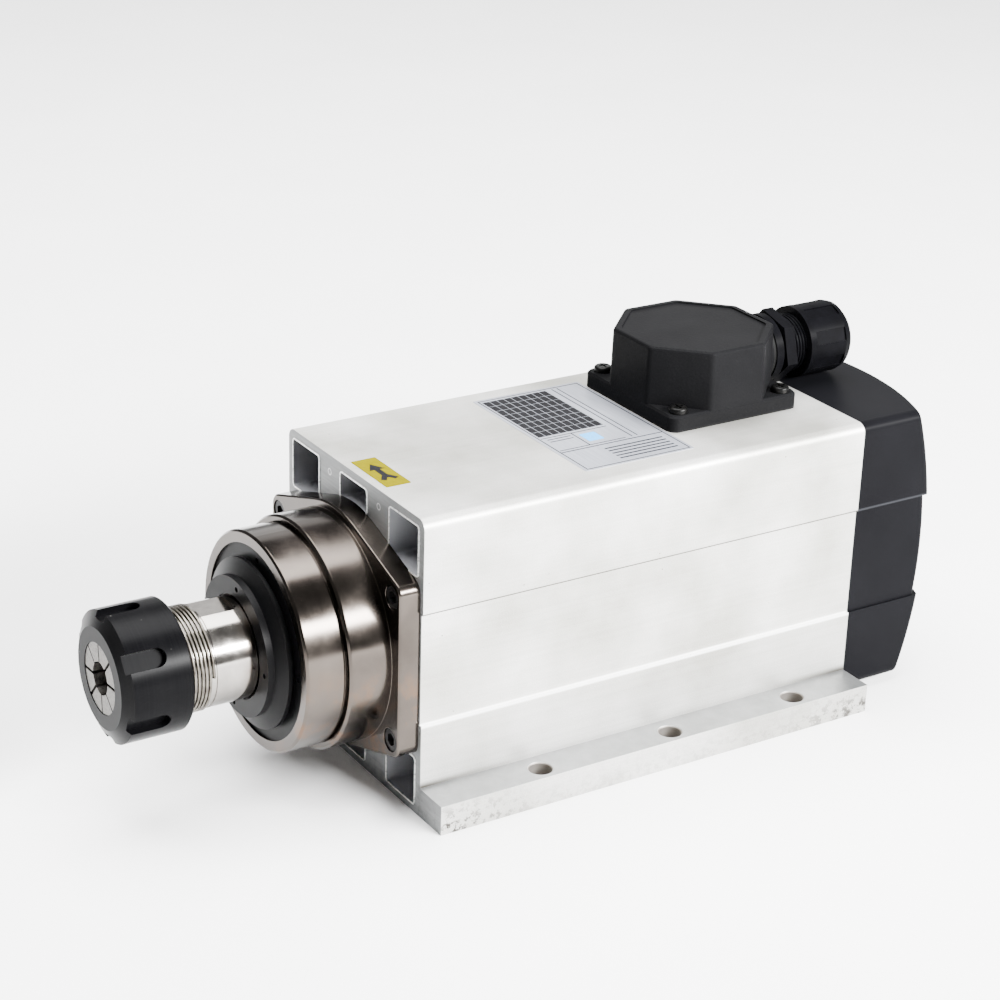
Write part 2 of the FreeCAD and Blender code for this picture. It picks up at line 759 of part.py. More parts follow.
def cover_bar(inset):
    """Square bar behind the extrusion, drawn in by an inset."""
    side = half_width - inset
    return block(-side, side, behind(0), behind(cover_depth), cover_bottom + inset, body_height - inset)


def cover_outside():
    """Outer form of the fan cover: domed, its middle band set in at the sides and at the back."""
    bar = cover_bar(0)
    domed = bar.makeFillet(body_corner, long_edges(bar, Vector(0, 1, 0))).common(cover_dome(0))
    rear_edges = [edge for edge in domed.Edges if edge.BoundBox.YMin > behind(fan_start)]
    domed = domed.makeFillet(cover_edge, rear_edges)
    band_side = half_width - band_recess
    core = block(-band_side, band_side, behind(0), behind(cover_depth), band_low, band_high)
    core = core.common(cover_dome(cover_back_recess))
    upright = [edge for edge in core.Edges if edge.BoundBox.YMin > behind(fan_start)
               and edge.BoundBox.ZLength > (band_high - band_low) / 2]
    core = core.makeFillet(cover_edge, upright)
    band = block(-half_width, half_width, behind(0), behind(cover_depth), band_low, band_high)
    return domed.cut(band).fuse(core)


def cover_inside():
    """Hollow of the fan cover."""
    return cover_bar(cover_wall + band_recess).common(cover_dome(cover_wall + cover_back_recess))


def fan_cover():
    """Moulded rear cover over the fan, with screw bosses and an air grille."""
    bosses = [rod(cover_boss, behind(0), behind(cover_depth), x, z) for x, z in cover_screw_places()]
    cutters = [cover_inside().cut(bosses)]
    for x, z in cover_screw_places():
        cutters.append(rod(cover_screw_radius + seat_gap, behind(0), behind(cover_depth), x, z))
        cutters.append(rod(cover_screw_head + cover_screw_head_gap, behind(cover_boss_seat),
                           behind(cover_depth), x, z))
    for row in range(grille_rows):
        z = axis_height + (row - (grille_rows - 1) / 2) * grille_pitch
        for column in range(grille_columns):
            x = (column - (grille_columns - 1) / 2) * grille_column_pitch
            cutters.append(block(x - grille_slot_length / 2, x + grille_slot_length / 2,
                                 behind(fan_start + fan_depth), behind(cover_depth),
                                 z - grille_slot / 2, z + grille_slot / 2))
    return cover_outside().cut(cutters)


def cover_screws():
    """Four pan-head screws, deep in the bosses of the fan cover."""
    screws = []
    head_face = behind(cover_boss_seat + cover_screw_head_height)
    for x, z in cover_screw_places():
        head = rod(cover_screw_head, behind(cover_boss_seat), head_face, x, z)
        shank = rod(cover_screw_radius, behind(-cover_screw_bite), behind(cover_boss_seat), x, z)
        screws.append(head.fuse(shank))
    return Part.makeCompound(screws)


def octagon(width, z):
    """Wire of a regular octagon round the box centre, with flats along X and Y and rounded corners."""
    eighth = math.pi / 4
    reach = (width / 2 - box_column_corner) / math.cos(eighth / 2)
    corners = []
    for index in range(8):
        middle = (index + 0.5) * eighth
        corners.append([Vector(box_x + reach * math.cos(middle) + box_column_corner * math.cos(turn),
                               box_y + reach * math.sin(middle) + box_column_corner * math.sin(turn), z)
                        for turn in (index * eighth, middle, (index + 1) * eighth)])
    edges = []
    for index, points in enumerate(corners):
        edges.append(Part.Arc(points[0], points[1], points[2]).toShape())
        edges.append(Part.makeLine(points[2], corners[(index + 1) % 8][0]))
    return Part.Wire(edges)


def box_column(width_low, width_high, z_low, z_high):
    """Eight-sided column, slightly narrower at the top."""
    return Part.makeLoft([octagon(width_low, z_low), octagon(width_high, z_high)], True, True)


def box_outside():
    """Outer form of the column, its top edge rounded."""
    wires = [octagon(box_width, box_base_z)]
    for step in range(box_top_steps + 1):
        turn = math.pi / 2 * step / box_top_steps
        wires.append(octagon(box_top_width - 2 * box_top_round * (1 - math.cos(turn)),
                             box_top_z - box_top_round * (1 - math.sin(turn))))
    return Part.makeLoft(wires, True, True)


def box_square(z_low, z_high):
    """Square foot of the terminal box with rounded corners."""
    half = box_width / 2
    foot = block(box_x - half, box_x + half, box_y - half, box_y + half, z_low, z_high)
    return foot.makeFillet(box_ear_corner, long_edges(foot, Vector(0, 0, 1)))


def terminal_box_gasket():
    """Thin gasket between the box and the extrusion."""
    sheet = box_square(body_height, box_base_z)
    opening = box_column(box_width - 2 * box_wall, box_width - 2 * box_wall, body_height, box_base_z)
    holes = [Part.makeCylinder(box_screw_radius + seat_gap, gasket_thickness, Vector(x, y, body_height))
             for x, y in box_screw_places()]
    return sheet.cut([opening] + holes)


def terminal_box():
    """Moulded eight-sided box with four screw ears and a flat pad for the cable gland."""
    foot = box_square(box_base_z, ear_z)
    top_edges = [edge for edge in foot.Edges if edge.BoundBox.ZMin > box_base_z]
    foot = foot.makeChamfer(box_ear_chamfer, top_edges)
    pad = rod(gland_seat, gland_face - gland_pad, gland_face, box_x, gland_z)
    inner_width = box_width - 2 * box_wall
    hollow = box_column(inner_width, box_top_width - 2 * box_wall, box_base_z, box_top_z - box_wall)
    panel_width = box_top_width - 2 * box_panel_margin
    panel = box_column(panel_width, panel_width, box_top_z - box_panel_recess, box_top_z)
    cutters = [rod(gland_entry + seat_gap, box_y, gland_face, box_x, gland_z)]
    for x, y in box_screw_places():
        cutters.append(Part.makeCylinder(box_screw_radius + seat_gap, box_ear_height,
                                         Vector(x, y, box_base_z)))
    return box_outside().fuse(foot).cut([hollow, panel]).fuse(pad).cut(cutters).removeSplitter()


def box_screws():
    """Four pan-head screws through the ears of the terminal box."""
    length = box_screw_bite + gasket_thickness + box_ear_height
    side_height = box_screw_head_height - box_screw_head_edge
    screws = []
    for x, y in box_screw_places():
        side = Part.makeCylinder(box_screw_head, side_height, Vector(x, y, ear_z))
        crown = Part.makeCone(box_screw_head, box_screw_head - box_screw_head_edge, box_screw_head_edge,
                              Vector(x, y, ear_z + side_height))
        shank = Part.makeCylinder(box_screw_radius, length, Vector(x, y, ear_z - length))
        screws.append(side.fuse([crown, shank]))
    return Part.makeCompound(screws)


def terminal_block():
    """Insulating block under the box, beside the wire hole."""
    middle = box_y - block_offset
    return block(box_x - block_length / 2, box_x + block_length / 2, middle - block_width / 2,
                 middle + block_width / 2, body_height, body_height + block_height)


def terminal_studs():
    """Brass studs for the motor leads, on top of the block."""
    studs = []
    for index in range(stud_count):
        x = box_x + (index - (stud_count - 1) / 2) * stud_pitch
        studs.append(Part.makeCylinder(stud_radius, stud_rise,
                                       Vector(x, box_y - block_offset, body_height + block_height)))
    return Part.makeCompound(studs)


def gland_washer_ring():
    """Sealing washer between gland and box."""
    end = gland_face + gland_washer
    return tube(gland_washer_radius, gland_entry + seat_gap, gland_face, end, box_x, gland_z)


def gland_body():
    """Gland body: thread through the box wall, collar, hexagon and outer thread."""
    inner_end = locknut_seat - gland_locknut
    collar_start = gland_face + gland_washer
    collar_end = collar_start + gland_collar
    hex_start = collar_end + gland_neck
    hex_end = hex_start + gland_hex
    thread_end_y = hex_end + gland_thread_length
    body = turned([(inner_end, gland_bore), (inner_end, gland_entry), (collar_start, gland_entry),
                   (collar_start, gland_collar_radius), (collar_end, gland_collar_radius),
                   (collar_end, gland_thread), (hex_end, gland_thread), (hex_end, gland_thread_root),
                   (thread_end_y, gland_thread_root), (thread_end_y, gland_bore)], box_x, gland_z)
    hexagon = prism(gland_hex_flats, hex_start, hex_end, 6, gland_hex_angle, box_x, gland_z)
    return body.fuse(hexagon).cut(rod(gland_bore, inner_end, thread_end_y, box_x, gland_z)).removeSplitter()


def gland_locknut_ring():
    """Plastic locknut inside the box, with one flat towards the lid."""
    start = locknut_seat - gland_locknut
    nut = prism(gland_locknut_flats, start, locknut_seat, 6, gland_locknut_angle, box_x, gland_z)
    return nut.cut(rod(gland_entry + seat_gap, start, locknut_seat, box_x, gland_z))


def gland_nut():
    """Domed clamping nut of the gland, with eight grip flutes."""
    start = gland_nut_start
    end = start + gland_nut_length
    centre_y = end - gland_nut_round
    centre_r = gland_nut_radius - gland_nut_round
    profile = [(start, 0), (start, gland_nut_radius), (centre_y, gland_nut_radius)]
    for step in range(1, gland_nut_round_steps + 1):
        turn = math.pi / 2 * step / gland_nut_round_steps
        profile.append((centre_y + gland_nut_round * math.sin(turn),
                        centre_r + gland_nut_round * math.cos(turn)))
    profile.append((end, 0))
    nut = turned(profile, box_x, gland_z)
    thread_depth = gland_thread_length - gland_nut_gap + screw_hole_end
    seal_depth = seal_start + seal_length - gland_nut_gap + screw_hole_end
    bore = turned([(start, 0), (start, gland_thread_root + running_gap),
                   (start + thread_depth, gland_thread_root + running_gap),
                   (start + thread_depth, gland_bore + running_gap),
                   (start + seal_depth, gland_bore + running_gap),
                   (start + seal_depth, gland_nut_mouth), (end, gland_nut_mouth), (end, 0)], box_x, gland_z)
    cutters = [bore]
    flute = block(gland_nut_radius - gland_flute_depth, 2 * gland_nut_radius, start + gland_flute_start,
                  end - gland_nut_round, -gland_flute_width / 2, gland_flute_width / 2)
    for index in range(gland_flutes):
        copy = flute.copy()
        copy.rotate(Vector(0, 0, 0), Vector(0, 1, 0), -(gland_flute_angle + index * 360 / gland_flutes))
        copy.translate(Vector(box_x, 0, gland_z))
        cutters.append(copy)
    return nut.cut(cutters)


def gland_seal():
    """Rubber insert that closes on the cable when the dome nut is turned."""
    start = gland_nut_start - gland_nut_gap + seal_start
    return tube(gland_bore - running_gap, seal_bore, start, start + seal_length, box_x, gland_z)


def build():
    """All the nodes of the spindle by name."""
    return {
        "housing_extrusion": housing_extrusion(),
        "stator_core": stator_core(),
        "stator_windings": stator_windings(),
        "front_bearing_housing": front_bearing_housing(),
        "flange_screws": flange_screws(),
        "bearing_retaining_ring": bearing_retaining_ring(),
        "bearing_outer_rings": bearing_outer_rings(),
        "front_bearing_cages": front_bearing_cages(),
        "rear_bearing_cage": rear_bearing_cage(),
        "bearing_inner_rings": bearing_inner_rings(),
        "shaft_locknut": shaft_locknut(),
        "labyrinth_disc": labyrinth_disc(),
        "spindle_shaft": spindle_shaft(),
        "rotor_core": rotor_core(),
        "collet": collet(),
        "collet_nut": collet_nut(),
        "rear_bearing_shield": rear_bearing_shield(),
        "cooling_fan": cooling_fan(),
        "fan_cover": fan_cover(),
        "fan_cover_screws": cover_screws(),
        "terminal_box_gasket": terminal_box_gasket(),
        "terminal_box": terminal_box(),
        "terminal_box_screws": box_screws(),
        "terminal_block": terminal_block(),
        "terminal_studs": terminal_studs(),
        "gland_washer": gland_washer_ring(),
        "gland_body": gland_body(),
        "gland_locknut": gland_locknut_ring(),
        "gland_seal": gland_seal(),
        "gland_nut": gland_nut(),
    }


os.makedirs("parts", exist_ok=True)
for node, shape in build().items():
    shape.exportStep("parts/" + node + ".step")
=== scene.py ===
import math
import bpy
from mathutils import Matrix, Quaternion, Vector


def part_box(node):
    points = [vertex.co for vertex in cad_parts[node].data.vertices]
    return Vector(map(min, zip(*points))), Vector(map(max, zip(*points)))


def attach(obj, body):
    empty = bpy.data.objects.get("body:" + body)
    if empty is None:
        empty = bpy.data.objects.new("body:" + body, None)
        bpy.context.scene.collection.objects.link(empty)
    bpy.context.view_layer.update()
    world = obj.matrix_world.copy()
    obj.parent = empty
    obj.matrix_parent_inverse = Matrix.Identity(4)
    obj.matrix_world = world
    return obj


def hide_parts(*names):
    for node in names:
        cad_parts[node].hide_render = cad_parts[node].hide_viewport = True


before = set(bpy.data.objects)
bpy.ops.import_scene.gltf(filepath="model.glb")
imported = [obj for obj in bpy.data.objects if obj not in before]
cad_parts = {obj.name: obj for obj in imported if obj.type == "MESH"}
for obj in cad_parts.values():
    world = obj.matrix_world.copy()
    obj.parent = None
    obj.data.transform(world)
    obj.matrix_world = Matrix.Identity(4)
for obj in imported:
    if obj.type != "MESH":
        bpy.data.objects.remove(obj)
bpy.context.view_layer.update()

# Housing: one length of extruded aluminium, 6000 series, with feet and air channels.
# It is etched and clear anodised to a pale satin. The die leaves faint lines along it, the ends are
# sawn, and painted shade greys the ends and the tops of the feet.
front_face_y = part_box("housing_extrusion")[0][1]
rear_face_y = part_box("housing_extrusion")[1][1]
body_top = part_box("housing_extrusion")[1][2]
spindle_axis_z = body_top / 2
body_middle_y = (front_face_y + rear_face_y) / 2
half_length = (rear_face_y - front_face_y) / 2
body_half_width = 0.052


def linear(code):
    """Linear colour from an sRGB hex code."""
    channels = [int(code[index:index + 2], 16) / 255 for index in (1, 3, 5)]
    return tuple([((c + 0.055) / 1.055) ** 2.4 if c > 0.04045 else c / 12.92 for c in channels] + [1.0])


def add(tree, kind, settings, links):
    """Adds one shader node; settings go to sockets or properties, links join its inputs."""
    node = tree.nodes.new(kind)
    for key, value in settings.items():
        if key == "stops":
            while len(node.color_ramp.elements) < len(value):
                node.color_ramp.elements.new(0.5)
            for element, (position, colour) in zip(node.color_ramp.elements, value):
                element.position = position
                element.color = linear(colour)
        elif isinstance(key, int) or key in node.inputs:
            node.inputs[key].default_value = value
        else:
            setattr(node, key, value)
    for key, source in links.items():
        tree.links.new(source, node.inputs[key])
    return node


def finish(name, metallic, roughness, specular=0.5):
    """New material; returns it with its tree, its shader and the object coordinates."""
    made = bpy.data.materials.new(name)
    made.use_nodes = True
    tree = made.node_tree
    shader = tree.nodes["Principled BSDF"]
    shader.inputs["Metallic"].default_value = metallic
    shader.inputs["Roughness"].default_value = roughness
    shader.inputs["Specular IOR Level"].default_value = specular
    place = add(tree, "ShaderNodeTexCoord", {}, {}).outputs["Object"]
    return made, tree, shader, place


def dress(node, made):
    """Gives a CAD node its finish."""
    for material_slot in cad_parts[node].material_slots:
        material_slot.material = made


# Satin anodising: fine die lines along Y, etched grain, and clouds a few centimetres wide.
die_line = 0.0012
die_wander = 3.0
etch_grain = 0.0005
clouds_per_metre = 22.0
anodised, tree, shader, place = finish("clear_anodised_aluminium", 0.75, 0.5)
split = add(tree, "ShaderNodeSeparateXYZ", {}, {"Vector": place})
along = add(tree, "ShaderNodeMapping", {"Scale": (1 / die_line, die_wander, 1 / die_line)}, {"Vector": place})
lines = add(tree, "ShaderNodeTexNoise", {"Scale": 1.0, "Detail": 3.0, "Roughness": 0.6},
            {"Vector": along.outputs["Vector"]})
grain = add(tree, "ShaderNodeTexNoise", {"Scale": 1 / etch_grain, "Detail": 2.0}, {"Vector": place})
cloud = add(tree, "ShaderNodeTexNoise", {"Scale": clouds_per_metre, "Detail": 4.0}, {"Vector": place})
metal = add(tree, "ShaderNodeValToRGB", {"stops": [(0.34, "#ADACA5"), (0.66, "#DAD9D6")]},
            {"Fac": cloud.outputs["Fac"]})
streak = add(tree, "ShaderNodeMapRange", {"From Min": 0.3, "From Max": 0.7, "To Min": 0.90, "To Max": 1.0},
             {"Value": lines.outputs["Fac"]})
speck = add(tree, "ShaderNodeMapRange", {"From Min": 0.35, "From Max": 0.65, "To Min": 0.84, "To Max": 1.0},
            {"Value": grain.outputs["Fac"]})
texture = add(tree, "ShaderNodeMath", {"operation": "MULTIPLY"},
              {0: streak.outputs["Result"], 1: speck.outputs["Result"]})
clean = add(tree, "ShaderNodeVectorMath", {"operation": "SCALE"},
            {"Vector": metal.outputs["Color"], "Scale": texture.outputs["Value"]})
# Painted shade darkens the wall under the stepped side a little, and a painted highlight lies along the round
# edge of the step.
ledge_height = 0.0378
ledge_edge = 0.0011
ledge_fade = 0.002
below_ledge_shade = add(tree, "ShaderNodeMapRange", {"From Min": ledge_height, "From Max": ledge_height - ledge_fade,
                                         "To Min": 1.0, "To Max": 0.86}, {"Value": split.outputs["Z"]})
walls_shaded_below = add(tree, "ShaderNodeVectorMath", {"operation": "SCALE"},
            {"Vector": clean.outputs["Vector"], "Scale": below_ledge_shade.outputs["Result"]})
from_ledge = add(tree, "ShaderNodeMath", {"operation": "SUBTRACT", 1: ledge_height},
                 {0: split.outputs["Z"]})
ledge_gap = add(tree, "ShaderNodeMath", {"operation": "ABSOLUTE"}, {0: from_ledge.outputs["Value"]})
ledge_highlight_mask = add(tree, "ShaderNodeMapRange", {"From Min": ledge_edge, "From Max": ledge_edge / 3},
                 {"Value": ledge_gap.outputs["Value"]})
ledge_highlighted = add(tree, "ShaderNodeMix", {"data_type": "RGBA", 7: linear("#FBFBFA")},
             {0: ledge_highlight_mask.outputs["Result"], 6: walls_shaded_below.outputs["Vector"]})
# Dust specks are sealed in here and there, each about half a millimetre across.
pins_per_metre = 95.0
pins = add(tree, "ShaderNodeTexVoronoi", {"Scale": pins_per_metre}, {"Vector": place})
pin_mark = add(tree, "ShaderNodeMapRange", {"From Min": 0.034, "From Max": 0.02},
               {"Value": pins.outputs["Distance"]})
specked = add(tree, "ShaderNodeMix", {"data_type": "RGBA", 7: linear("#6B6862")},
              {0: pin_mark.outputs["Result"], 6: ledge_highlighted.outputs[2]})
# A thin painted shadow lies under the upper step of each side, and dust lies at both ends where the foot
# meets the side.
groove_height = 0.083
groove_shade_width = 0.0006
corner_dirt = 0.0030
foot_top = 0.012
clean_reach = 0.060
dirty_reach = 0.098
from_groove = add(tree, "ShaderNodeMath", {"operation": "SUBTRACT", 1: groove_height},
                  {0: split.outputs["Z"]})
groove_gap = add(tree, "ShaderNodeMath", {"operation": "ABSOLUTE"}, {0: from_groove.outputs["Value"]})
groove_shade_mask = add(tree, "ShaderNodeMapRange", {"From Min": groove_shade_width, "From Max": groove_shade_width / 2},
                  {"Value": groove_gap.outputs["Value"]})
from_foot = add(tree, "ShaderNodeMath", {"operation": "SUBTRACT", 1: foot_top}, {0: split.outputs["Z"]})
foot_gap = add(tree, "ShaderNodeMath", {"operation": "ABSOLUTE"}, {0: from_foot.outputs["Value"]})
across = add(tree, "ShaderNodeMath", {"operation": "ABSOLUTE"}, {0: split.outputs["X"]})
side_gap = add(tree, "ShaderNodeMath", {"operation": "SUBTRACT", 1: body_half_width},
               {0: across.outputs["Value"]})
side_reach = add(tree, "ShaderNodeMath", {"operation": "ABSOLUTE"}, {0: side_gap.outputs["Value"]})
foot_corner = add(tree, "ShaderNodeMath", {"operation": "ADD"},
                  {0: foot_gap.outputs["Value"], 1: side_reach.outputs["Value"]})
foot_line = add(tree, "ShaderNodeMapRange", {"From Min": corner_dirt, "From Max": corner_dirt / 5},
                {"Value": foot_corner.outputs["Value"]})
from_middle = add(tree, "ShaderNodeMath", {"operation": "SUBTRACT", 1: body_middle_y},
                  {0: split.outputs["Y"]})
along_body = add(tree, "ShaderNodeMath", {"operation": "ABSOLUTE"}, {0: from_middle.outputs["Value"]})
to_end = add(tree, "ShaderNodeMapRange", {"From Min": clean_reach, "From Max": dirty_reach,
                                          "To Min": 0.2, "To Max": 1.0},
             {"Value": along_body.outputs["Value"]})
foot_mark = add(tree, "ShaderNodeMath", {"operation": "MULTIPLY"},
                {0: foot_line.outputs["Result"], 1: to_end.outputs["Result"]})
# The painted shadow line and the dust at the feet share one dark tone.
groove_shade_and_foot_dirt = add(tree, "ShaderNodeMath", {"operation": "MAXIMUM"},
           {0: groove_shade_mask.outputs["Result"], 1: foot_mark.outputs["Value"]})
shaded_and_dusty = add(tree, "ShaderNodeMix", {"data_type": "RGBA", 7: linear("#45423C")},
            {0: groove_shade_and_foot_dirt.outputs["Value"], 6: specked.outputs[2]})
# Handling leaves small oily specks on the edge of the foot, most of them at its two ends.
specks_top = 0.0135
specks_full = 0.003
blots_per_metre = 330.0
near_ground = add(tree, "ShaderNodeMapRange", {"From Min": specks_top, "From Max": specks_full},
                  {"Value": split.outputs["Z"]})
foot_ends = add(tree, "ShaderNodeMath", {"operation": "MULTIPLY"},
                {0: near_ground.outputs["Result"], 1: to_end.outputs["Result"]})
blots = add(tree, "ShaderNodeTexNoise", {"Scale": blots_per_metre, "Detail": 5.0, "Roughness": 0.7},
            {"Vector": place})
patchy = add(tree, "ShaderNodeMapRange", {"From Min": 0.49, "From Max": 0.57},
             {"Value": blots.outputs["Fac"]})
stain = add(tree, "ShaderNodeMath", {"operation": "MULTIPLY"},
            {0: foot_ends.outputs["Value"], 1: patchy.outputs["Result"]})
oiled = add(tree, "ShaderNodeMix", {"data_type": "RGBA", 7: linear("#262019")},
            {0: stain.outputs["Value"], 6: shaded_and_dusty.outputs[2]})
# The ends carry saw marks; painted shade greys the ends and the tops of the feet, the ends a little more.
face_tolerance = 0.0001
saw_line = 0.0007
saw_run = 60.0
saw_slope = 0.35
end_reach = add(tree, "ShaderNodeMath", {"operation": "GREATER_THAN", 1: half_length - face_tolerance},
                {0: along_body.outputs["Value"]})
foot_level = add(tree, "ShaderNodeMath", {"operation": "LESS_THAN", 1: face_tolerance / 2},
                 {0: foot_gap.outputs["Value"]})
outside = add(tree, "ShaderNodeMath", {"operation": "GREATER_THAN", 1: body_half_width - 2 * face_tolerance},
              {0: across.outputs["Value"]})
foot_top_shade = add(tree, "ShaderNodeMath", {"operation": "MULTIPLY"},
             {0: foot_level.outputs["Value"], 1: outside.outputs["Value"]})
shaded_faces = add(tree, "ShaderNodeMath", {"operation": "MAXIMUM"},
           {0: foot_top_shade.outputs["Value"], 1: end_reach.outputs["Value"]})
shaded_face_share = add(tree, "ShaderNodeMath", {"operation": "MULTIPLY", 1: 0.9}, {0: shaded_faces.outputs["Value"]})
sawing = add(tree, "ShaderNodeMapping", {"Scale": (saw_run, saw_run, 1 / saw_line),
                                         "Rotation": (0.0, saw_slope, 0.0)}, {"Vector": place})
saw_marks = add(tree, "ShaderNodeTexNoise", {"Scale": 1.0, "Detail": 4.0, "Roughness": 0.7},
                {"Vector": sawing.outputs["Vector"]})
shaded_saw_tint = add(tree, "ShaderNodeValToRGB", {"stops": [(0.3, "#67696A"), (0.7, "#818384")]},
               {"Fac": saw_marks.outputs["Fac"]})
end_shade = add(tree, "ShaderNodeMapRange", {"To Min": 1.0, "To Max": 0.8},
                {"Value": end_reach.outputs["Value"]})
end_shaded_saw_tint = add(tree, "ShaderNodeVectorMath", {"operation": "SCALE"},
                {"Vector": shaded_saw_tint.outputs["Color"], "Scale": end_shade.outputs["Result"]})
shaded_ends_and_feet = add(tree, "ShaderNodeMix", {"data_type": "RGBA"},
           {0: shaded_face_share.outputs["Value"], 6: oiled.outputs[2], 7: end_shaded_saw_tint.outputs["Vector"]})
# A worn punch left one small ring on each side of the upper middle channel.
mark_across = 0.0188
mark_height = 0.1133
mark_radius = 0.0012
mark_line = 0.00022
mark_place = add(tree, "ShaderNodeCombineXYZ", {}, {"X": across.outputs["Value"], "Y": split.outputs["Z"]})
mark_offset = add(tree, "ShaderNodeVectorMath", {"operation": "DISTANCE", 1: (mark_across, mark_height, 0.0)},
                  {0: mark_place.outputs["Vector"]})
on_ring = add(tree, "ShaderNodeMath", {"operation": "COMPARE", 1: mark_radius, 2: mark_line},
              {0: mark_offset.outputs["Value"]})
mark = add(tree, "ShaderNodeMath", {"operation": "MULTIPLY"},
           {0: on_ring.outputs["Value"], 1: end_reach.outputs["Value"]})
punched = add(tree, "ShaderNodeMix", {"data_type": "RGBA", 7: linear("#B4B4B2")},
              {0: mark.outputs["Value"], 6: shaded_ends_and_feet.outputs[2]})
# The six foot holes are drilled 60 mm apart, and painted shade darkens their walls.
hole_row = 0.0607
hole_pitch = 0.060
hole_reach = 0.0048
from_row = add(tree, "ShaderNodeMath", {"operation": "SUBTRACT", 1: hole_row}, {0: across.outputs["Value"]})
from_hole = add(tree, "ShaderNodeMath", {"operation": "PINGPONG", 1: hole_pitch / 2}, {0: split.outputs["Y"]})
hole_offset = add(tree, "ShaderNodeCombineXYZ", {}, {"X": from_row.outputs["Value"],
                                                     "Y": from_hole.outputs["Value"]})
hole_radius = add(tree, "ShaderNodeVectorMath", {"operation": "LENGTH"},
                  {"Vector": hole_offset.outputs["Vector"]})
hole_shade_mask = add(tree, "ShaderNodeMath", {"operation": "LESS_THAN", 1: hole_reach},
              {0: hole_radius.outputs["Value"]})
holes_shaded = add(tree, "ShaderNodeMix", {"data_type": "RGBA", 7: linear("#85807A")},
              {0: hole_shade_mask.outputs["Value"], 6: punched.outputs[2]})
# Inside the channels and the bore, painted shade turns the metal a dull bluish grey.
inner_half_width = 0.049
inner_half_height = 0.057
saw_cut_depth = 0.0002
narrow = add(tree, "ShaderNodeMath", {"operation": "LESS_THAN", 1: inner_half_width},
             {0: across.outputs["Value"]})
level = add(tree, "ShaderNodeMath", {"operation": "SUBTRACT", 1: spindle_axis_z}, {0: split.outputs["Z"]})
rise = add(tree, "ShaderNodeMath", {"operation": "ABSOLUTE"}, {0: level.outputs["Value"]})
short = add(tree, "ShaderNodeMath", {"operation": "LESS_THAN", 1: inner_half_height},
            {0: rise.outputs["Value"]})
within = add(tree, "ShaderNodeMath", {"operation": "LESS_THAN", 1: half_length - saw_cut_depth},
             {0: along_body.outputs["Value"]})
core = add(tree, "ShaderNodeMath", {"operation": "MULTIPLY"},
           {0: narrow.outputs["Value"], 1: short.outputs["Value"]})
inside = add(tree, "ShaderNodeMath", {"operation": "MULTIPLY"},
             {0: core.outputs["Value"], 1: within.outputs["Value"]})
channels_shaded = add(tree, "ShaderNodeMix", {"data_type": "RGBA", 7: linear("#A5A6AA")},
          {0: inside.outputs["Value"], 6: holes_shaded.outputs[2]})
tree.links.new(channels_shaded.outputs[2], shader.inputs["Base Color"])
height = add(tree, "ShaderNodeMath", {"operation": "ADD"}, {0: lines.outputs["Fac"], 1: grain.outputs["Fac"]})
bump = add(tree, "ShaderNodeBump", {"Strength": 0.05, "Distance": 0.00005},
           {"Height": height.outputs["Value"]})
tree.links.new(bump.outputs["Normal"], shader.inputs["Normal"])
dress("housing_extrusion", anodised)

# Saw rims: thin torn edges of bright aluminium, left by the saw round the mouths of the six air
# channels. The rear ones would lie under the fan cover, so only the front ones are made.
rim_width = 0.0005
rim_height = 0.0003
channel_round = 0.0012
# Four channels lie in the corners of the body, and one in the middle above and below the bore.
corner_x, corner_rise, corner_width, corner_depth = 0.0375, 0.04675, 0.021, 0.0195
middle_rise, middle_width, middle_depth = 0.0515, 0.020, 0.010


def settle():
    """Writes the place, turn and scale of the active object into its mesh."""
    bpy.ops.object.transform_apply(location=True, rotation=True, scale=True)


def pick_faces(piece, wanted):
    """Selects the faces that pass a test, and stays in edit mode."""
    bpy.ops.mesh.select_mode(type="FACE")
    bpy.ops.mesh.select_all(action="DESELECT")
    bpy.ops.object.mode_set(mode="OBJECT")
    for face in piece.data.polygons:
        face.select = wanted(face)
    bpy.ops.object.mode_set(mode="EDIT")


def joined(name, pieces):
    """Makes one object of several."""
    bpy.ops.object.select_all(action="DESELECT")
    for piece in pieces:
        piece.select_set(True)
    bpy.context.view_layer.objects.active = pieces[0]
    bpy.ops.object.join()
    bpy.context.object.name = name
    return bpy.context.object


def mottled(tree, shader, place, per_metre, stops, detail=3.0, roughness=0.5):
    """Base colour that wavers between two tones, so many times a metre; returns its noise."""
    noise = add(tree, "ShaderNodeTexNoise", {"Scale": per_metre, "Detail": detail, "Roughness": roughness},
                {"Vector": place})
    tint = add(tree, "ShaderNodeValToRGB", {"stops": stops}, {"Fac": noise.outputs["Fac"]})
    tree.links.new(tint.outputs["Color"], shader.inputs["Base Color"])
    return noise


